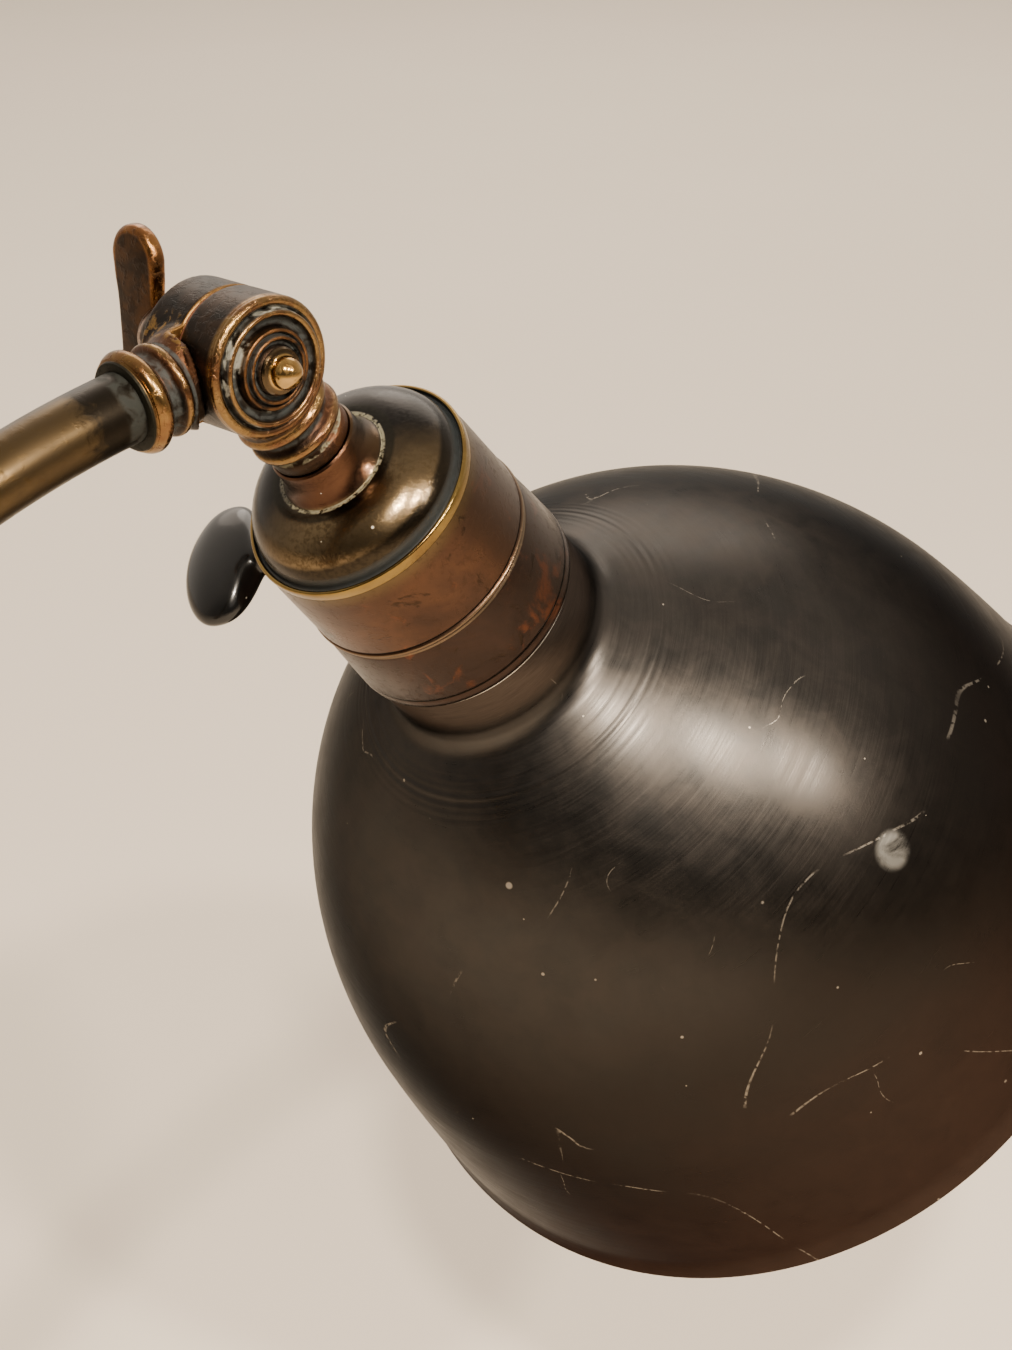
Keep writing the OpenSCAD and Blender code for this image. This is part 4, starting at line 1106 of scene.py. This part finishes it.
# %% Shell finish
def shell_finish(name, light, dark, red, top, seam, foot):
    """A pressed shell between heights top and foot, with a dark line at its seam."""
    material, tree, shader, local = finish(name, "lamp", 1.0, 0.3)
    turned = turning(tree, local, 2.5, 1.0)
    t = turned["Height"]
    side = axes(tree, local)
    clouds = tarnish(tree, local, 0.055, 0.5, 0.22)
    stains = tarnish(tree, local, 0.17, 0.2, 0.035)
    spots = tarnish(tree, local, 0.9, 0.3, 0.08)
    colour = mixed(tree, clouds["Mask"], light, dark)
    colour = layer(tree, colour, steps(tree, side[1], -4, 14), "433830", 0.6)
    golden = steps(tree, t, top + 3.2, top - 0.5)
    colour = layer(tree, colour, golden, "5c4d34", 0.8)
    reds = tarnish(tree, local, 0.13, red, 0.07)["Mask"]
    colour = layer(tree, colour, reds, "74432b", 0.5)
    colour = layer(tree, colour, stains["Mask"], "2e241b", 0.75)
    colour = layer(tree, colour, spots["Mask"], "3b2a1c", 0.22)
    dark_line = either(tree, band(tree, t, seam, 0.3), band(tree, t, foot, 0.26))
    colour = layer(tree, colour, dark_line, "15130f")
    pale_line = band(tree, t, seam + 0.55, 0.26)
    colour = layer(tree, colour, pale_line, "8a7860", 0.4)
    # Painted highlight: a thin near-white line on the skirt's lower lip stands for the shade's top edge
    # catching the light.
    lip_painted_highlight = steps(tree, t, SKIRT_END - 0.42, SKIRT_END - 0.15)
    colour = layer(tree, colour, lip_painted_highlight, "e2d8c6", 0.85)
    rough = calc(tree, "ADD", blended(tree, clouds["Cloud"], 0.2, 0.42),
                 calc(tree, "MULTIPLY", spots["Mask"], 0.1))
    surface(tree, shader, colour, rough,
            [(turned["Lines"], 0.008), (stains["Mask"], 0.02), (spots["Mask"], 0.01)])
    return material


body.data.materials.append(shell_finish("body_copper", tone("563d2d"), tone("3e2f27"), 0.12,
                                        BODY_AT, SEAM_AT - 1.2, SEAM_AT + 0.1))
skirt.data.materials.append(shell_finish("skirt_copper", tone("3f3029"), tone("2f2723"), 0.22,
                                         SEAM_AT - 9, SEAM_AT - 0.1, SKIRT_END - 2.2))
print("holder finishes made")

# %% [markdown]
# ## Shade finish
# The dome is blackened and waxed, with the fine rings of spinning all round it. Its lower part is
# darker, which is painted shade, and it browns towards the rim, partly a brown tint in the metal
# and partly a painted reflection of a brown wooden surface below. The neck is streaked
# grey-brown, and years of handling left long thin scratches, pale flecks and one dull patch.
# Inside it is painted cream, now yellowed.

# %% Shade finish
material, tree, shader, local = finish("spun_black", "lamp", 1.0, 0.3)
shader.inputs["Specular Tint"].default_value = (0.42, 0.43, 0.44, 1)
turned = turning(tree, local, 2.2, 2.4)
t = turned["Height"]
clouds = tarnish(tree, local, 0.018, 0.5, 0.22)
mottle = tarnish(tree, local, 0.14, 0.5, 0.2)
grain = turning(tree, local, 5.5, 5.0)
colour = mixed(tree, clouds["Mask"], tone("42403e"), tone("353331"))
colour = layer(tree, colour, mottle["Mask"], "4a443f", 0.35)
# The darker lower part of the dome is painted shade.
colour = layer(tree, colour, steps(tree, t, 98, 140), "25211e", 0.85)
# Browning towards the rim: partly a brown tint of the metal, partly a painted reflection of a wooden surface
# below.
brown_tint_and_reflection = steps(tree, calc(tree, "ADD", t, calc(tree, "MULTIPLY", clouds["Cloud"], 60)), 158, 232)
colour = mixed(tree, calc(tree, "MULTIPLY", brown_tint_and_reflection, 0.9), colour,
               mixed(tree, mottle["Cloud"], tone("2d2420"), tone("3d302a")))
neck_mask = steps(tree, t, FLARE_AT + 2.0, FLARE_AT - 3.0)
neck = mixed(tree, grain["Lines"], tone("231e1b"), tone("4c423b"))
colour = mixed(tree, calc(tree, "MULTIPLY", neck_mask, 0.85), colour, neck)
lit_line = band(tree, t, SHADE_TOP + 0.1, 0.4)
colour = layer(tree, colour, lit_line, "e8e4da")
dark_ring = band(tree, t, FLARE_AT + 1.2, 1.6)
colour = layer(tree, colour, dark_ring, "201d1b", 0.4)
long_marks = scratches(tree, local, 0.016, 0.0019, 0.48)
short_marks = use(tree, scratch_group, Vector=add(tree, "ShaderNodeMapping", Vector=local,
                  Location=(31, 17, 5), Rotation=(0.7, 0.4, 1.1)).outputs[0], Scale=0.05, Width=0.0032,
                  Share=0.3)["Mask"]
flecks = specks(tree, local, 0.085, 0.055, 0.3)
small_flecks = specks(tree, local, 0.24, 0.075, 0.2)
marks = either(tree, calc(tree, "MULTIPLY", long_marks, 0.42), calc(tree, "MULTIPLY", short_marks, 0.4),
               calc(tree, "MULTIPLY", flecks, 0.85), calc(tree, "MULTIPLY", small_flecks, 0.7))
colour = layer(tree, colour, marks, "a29a8e")
PATCH_HEIGHT, PATCH_TURN = 128.7, math.radians(176.6)
patch_r = min(outer, key=lambda p: abs(p[1] - PATCH_HEIGHT))[0]
dull_patch_at = (patch_r * math.cos(PATCH_TURN), patch_r * math.sin(PATCH_TURN), PATCH_HEIGHT)
patch_away = add(tree, "ShaderNodeVectorMath", {"operation": "DISTANCE"}, i0=local,
                 i1=dull_patch_at).outputs[1]
patch = both(tree, steps(tree, patch_away, 4.2, 2.4), steps(tree, mottle["Cloud"], 0.3, 0.5))
colour = layer(tree, colour, patch, "b5b2aa", 0.8)
rough = calc(tree, "ADD", blended(tree, turned["Lines"], 0.23, 0.36), calc(tree, "MULTIPLY", marks, 0.2))
rough = calc(tree, "ADD", rough, calc(tree, "MULTIPLY", mottle["Mask"], 0.05))
surface(tree, shader, colour, rough, [(turned["Lines"], 0.006), (grain["Lines"], 0.006),
                                      (calc(tree, "SUBTRACT", 1.0, marks), 0.02)])
shade.data.materials.append(material)

# %% Shade lining
lining, tree, shader, local = finish("cream_lining", "lamp", 0.0, 0.38)
turned = turning(tree, local, 1.6, 2.0)
clouds = tarnish(tree, local, 0.03, 0.5, 0.25)
stains = tarnish(tree, local, 0.25, 0.18, 0.05)
dots = specks(tree, local, 0.2, 0.09, 0.12)
colour = mixed(tree, clouds["Mask"], tone("ddd2b8"), tone("cbbb97"))
colour = layer(tree, colour, steps(tree, turned["Height"], 110, 80), "a8916a", 0.5)
colour = layer(tree, colour, stains["Mask"], "9c855c", 0.35)
colour = layer(tree, colour, dots, "4a3a2a")
surface(tree, shader, colour, blended(tree, clouds["Cloud"], 0.3, 0.5), [(turned["Lines"], 0.02)])
shade.data.materials.append(lining)
axis_place = PLACES["lamp"].inverted()
lined = 0
for face in shade.data.polygons:
    spot = axis_place @ face.center
    facing = axis_place.to_3x3() @ face.normal
    if facing.x * spot.x + facing.y * spot.y < 0 and spot.z / MM > FLARE_AT - 8:
        face.material_index = 1
        lined += 1
print("lined faces", lined, "of", len(shade.data.polygons))

# %% [markdown]
# ## Key finish
# Old black moulding is glossy and deep, with faint dust and hairline wear. A clear coat over
# a near-black base gives the two reflections that it shows.

# %% Key finish
material, tree, shader, local = finish("black_moulding", "key", 0.0, 0.2)
clouds = tarnish(tree, local, 0.2, 0.5, 0.25)
hair = scratches(tree, local, 0.12, 0.004, 0.35)
dots = specks(tree, local, 0.5, 0.08, 0.07)
colour = mixed(tree, clouds["Mask"], tone("070707"), tone("0d0c0b"))
colour = layer(tree, colour, either(tree, calc(tree, "MULTIPLY", hair, 0.25), dots), "8a867c")
shader.inputs["Coat Weight"].default_value = 0.25
shader.inputs["Specular IOR Level"].default_value = 0.3
shader.inputs["Coat Roughness"].default_value = 0.08
surface(tree, shader, colour, blended(tree, clouds["Cloud"], 0.12, 0.3), [(clouds["Cloud"], 0.03)])
key.data.materials.append(material)

# %% [markdown]
# ## Carried-over pieces
# The pieces whose frame shape is already right keep it and get a finish of their own: the
# wall plate, its wiring, the porcelain block, the screw shell, the bulb.


# %% Plain finishes
def plain_finish(name, where, light, dark, metallic, low_rough, high_rough, scale=0.2, bump=0.02, lines=0.0):
    material, tree, shader, local = finish(name, where, metallic, low_rough)
    turned = turning(tree, local, 3.0, 1.2)
    clouds = tarnish(tree, local, scale, 0.5, 0.2)
    small = tarnish(tree, local, scale * 5, 0.25, 0.08)
    colour = mixed(tree, clouds["Mask"], light, dark)
    colour = mixed(tree, calc(tree, "MULTIPLY", small["Mask"], 0.35), colour, dark)
    bumps = [(small["Mask"], bump)]
    if lines:
        bumps.append((turned["Lines"], lines))
    surface(tree, shader, colour, blended(tree, clouds["Cloud"], low_rough, high_rough), bumps)
    return material


def dress(names, material):
    for name in names:
        nodes[name].data.materials.clear()
        nodes[name].data.materials.append(material)


# pieces, finish, place, light and dark tone, metallic, least and most roughness, and then,
# where they differ from the usual, noise scale, bump depth and depth of the lathe lines
PLAIN = (
    ("stem_locknut earth_screw", "fitting_brass", "wall", "b08a4a", "7a5a30", 1, 0.25, 0.4),
    ("terminal_screws", "terminal_brass", "wall", "c9a560", "96733c", 1, 0.2, 0.35),
    ("terminal_block", "block_porcelain", "wall", "efe9dc", "ddd3bf", 0, 0.12, 0.3, 0.1, 0.01),
    ("swing_washer head_washer", "red_fibre", "upright", "6e4030", "4a2b22", 0, 0.6, 0.8, 0.5, 0.05),
    ("lamp_nipple shade_ring contact_screws", "lamp_brass", "lamp", "a9844a", "75572e", 1, 0.25, 0.42,
     0.2, 0.02, 0.01),
    ("screw_shell centre_contact", "shell_brass", "lamp", "c8a45c", "94723c", 1, 0.2, 0.36,
     0.2, 0.02, 0.01),
    ("switch_spindle", "spindle_brass", "key", "b9955a", "86673a", 1, 0.22, 0.36, 0.2, 0.02, 0.01),
    ("switch_block", "lamp_porcelain", "lamp", "eee8da", "d6cab2", 0, 0.12, 0.3, 0.08, 0.01),
    ("bulb_cap", "cap_aluminium", "lamp", "cfccc4", "a5a197", 1, 0.25, 0.42, 0.15, 0.01, 0.012),
    ("bulb_filament", "drawn_wire", "lamp", "8f877c", "655d54", 1, 0.3, 0.5, 0.6),
)
for names, label, where, light, dark, *rest in PLAIN:
    dress(names.split(), plain_finish(label, where, tone(light), tone(dark), *rest))


# %% Braided flex
def braid_finish(name):
    material, tree, shader, local = finish(name, "upright", 0.0, 0.85)
    strands = add(tree, "ShaderNodeTexWave", {"bands_direction": "DIAGONAL"}, Vector=local, Scale=1.1,
                  Distortion=1.2, Detail=1.0, Detail_Scale=1.5).outputs["Fac"]
    fuzz = add(tree, "ShaderNodeTexNoise", Vector=local, Scale=3.0, Detail=4.0).outputs[0]
    colour = mixed(tree, strands, tone("2b2825"), tone("5a5148"))
    colour = layer(tree, colour, fuzz, "6b6258", 0.4)
    surface(tree, shader, colour, blended(tree, fuzz, 0.75, 0.95), [(strands, 0.12), (fuzz, 0.05)])
    return material


dress(["bracket_lead", "arm_lead", "head_lead"], braid_finish("cotton_braid"))

# %% Wall plate finish
material, tree, shader, local = finish("plate_patina", "wall", 1.0, 0.34)
turned = turning(tree, local, 2.0, 1.6)
clouds = tarnish(tree, local, 0.035, 0.5, 0.2)
small = tarnish(tree, local, 0.3, 0.25, 0.07)
r, z = turned["Radius"], turned["Height"]
colour = mixed(tree, clouds["Mask"], tone("6e5230"), tone("4b3823"))
edges = either(tree, both(tree, band(tree, r, 47.0, 1.3), steps(tree, z, 2.5, 5.0)),
               band(tree, z, 19.4, 0.8), both(tree, band(tree, r, 30.0, 1.0), steps(tree, z, 6.5, 7.2)))
colour = layer(tree, colour, edges, "a87c40", 0.8)
hollow = either(tree, both(tree, band(tree, r, 30.8, 1.0), steps(tree, z, 6.9, 6.2)),
                both(tree, band(tree, r, 10.6, 1.3), steps(tree, z, 16.5, 17.2)))
colour = layer(tree, colour, hollow, "2a2923", 0.8)
colour = layer(tree, colour, small["Mask"], "35291b", 0.5)
rough = calc(tree, "ADD", blended(tree, clouds["Cloud"], 0.26, 0.42), calc(tree, "MULTIPLY", hollow, 0.25))
surface(tree, shader, colour, rough, [(turned["Lines"], 0.015), (small["Mask"], 0.02)])
dress(["wall_plate"], material)


# %% Glass
def glass_finish(name, tint, low, high):
    material, tree, shader, local = finish(name, "lamp", 0.0, 0.03)
    shader.inputs["Transmission Weight"].default_value = 1.0
    shader.inputs["IOR"].default_value = 1.45
    dust = tarnish(tree, local, 0.2, 0.3, 0.2)
    colour = mixed(tree, dust["Mask"], tint, tone("f3efe6"))
    surface(tree, shader, colour, blended(tree, dust["Cloud"], low, high))
    return material


dress(["bulb_glass"], glass_finish("blown_glass", tone("fbf9f2"), 0.01, 0.12))
dress(["bulb_mount"], glass_finish("pinch_glass", tone("eef2ee"), 0.02, 0.1))
print("carried-over pieces dressed")

# %% [markdown]
# ## Floor and light
# A plain pale floor fills the view. Three small warm lamps stand above and behind the camera
# and give the small hard highlights on the dome and the button. Two large soft panels and a
# warm sky, dimmer on one side, fill the shadows, and a third panel washes the floor.

# %% Floor
deselect()
FLOOR_AT = -0.26
bpy.ops.mesh.primitive_plane_add(size=14, location=(0, -3, FLOOR_AT))
floor = bpy.context.object
floor.name = "floor"
material = bpy.data.materials.new("pale_plaster")
material.use_nodes = True
tree = material.node_tree
shader = tree.nodes["Principled BSDF"]
spot = tree.nodes.new("ShaderNodeTexCoord").outputs["Object"]
drift = add(tree, "ShaderNodeTexNoise", Vector=spot, Scale=3.0, Detail=5.0).outputs[0]
surface(tree, shader, mixed(tree, drift, tone("dccfbe"), tone("e0d4c4")))
shader.inputs["Roughness"].default_value = 0.85
floor.data.materials.append(material)

# %% Lights
world = bpy.data.worlds.new("warm_room")
bpy.context.scene.world = world
world.use_nodes = True
world.node_tree.nodes["Background"].inputs["Color"].default_value = tone("fff1e0")
sky = world.node_tree
away = add(sky, "ShaderNodeVectorMath", {"operation": "DOT_PRODUCT"},
           i0=sky.nodes.new("ShaderNodeTexCoord").outputs["Generated"], i1=(0.66, -0.66, 0.36)).outputs[1]
SKY_DIM, SKY_BRIGHT = 0.14, 1.15
sky.links.new(steps(sky, away, -0.8, 0.8, SKY_DIM, SKY_BRIGHT), sky.nodes["Background"].inputs["Strength"])


def lamp_light(name, position, target, size, watts, tint):
    deselect()
    bpy.ops.object.light_add(type="AREA", location=position)
    light = bpy.context.object
    light.name = name
    light.data.shape = "DISK"
    light.data.size = size
    light.data.energy = watts
    light.data.color = tone(tint)[:3]
    light.rotation_euler = (Vector(target) - Vector(position)).to_track_quat("-Z", "Y").to_euler()
    return light


aim = (0, -0.33, 0.08)
bulbs = (((-0.65, 0.32, 1.0), 24), ((-0.98, -0.07, 0.9), 18), ((-1.14, -0.46, 0.73), 13))
for i, (spot, watts) in enumerate(bulbs):
    lamp_light(f"bulb_light_{i}", spot, aim, 0.09, watts, "fff0dc")
lamp_light("window_fill", (-1.4, 0.6, 1.2), aim, 1.4, 3, "fff6ec")
lamp_light("side_fill", (1.3, -0.9, 1.1), aim, 1.2, 5, "ffeedd")
lamp_light("floor_wash", (1.5, -2.2, 1.9), (1.5, -2.2, FLOOR_AT), 2.6, 55, "fff3e4")

# %% [markdown]
# ## Last step
# The last step leaves nothing selected.

# %% Finish
deselect()
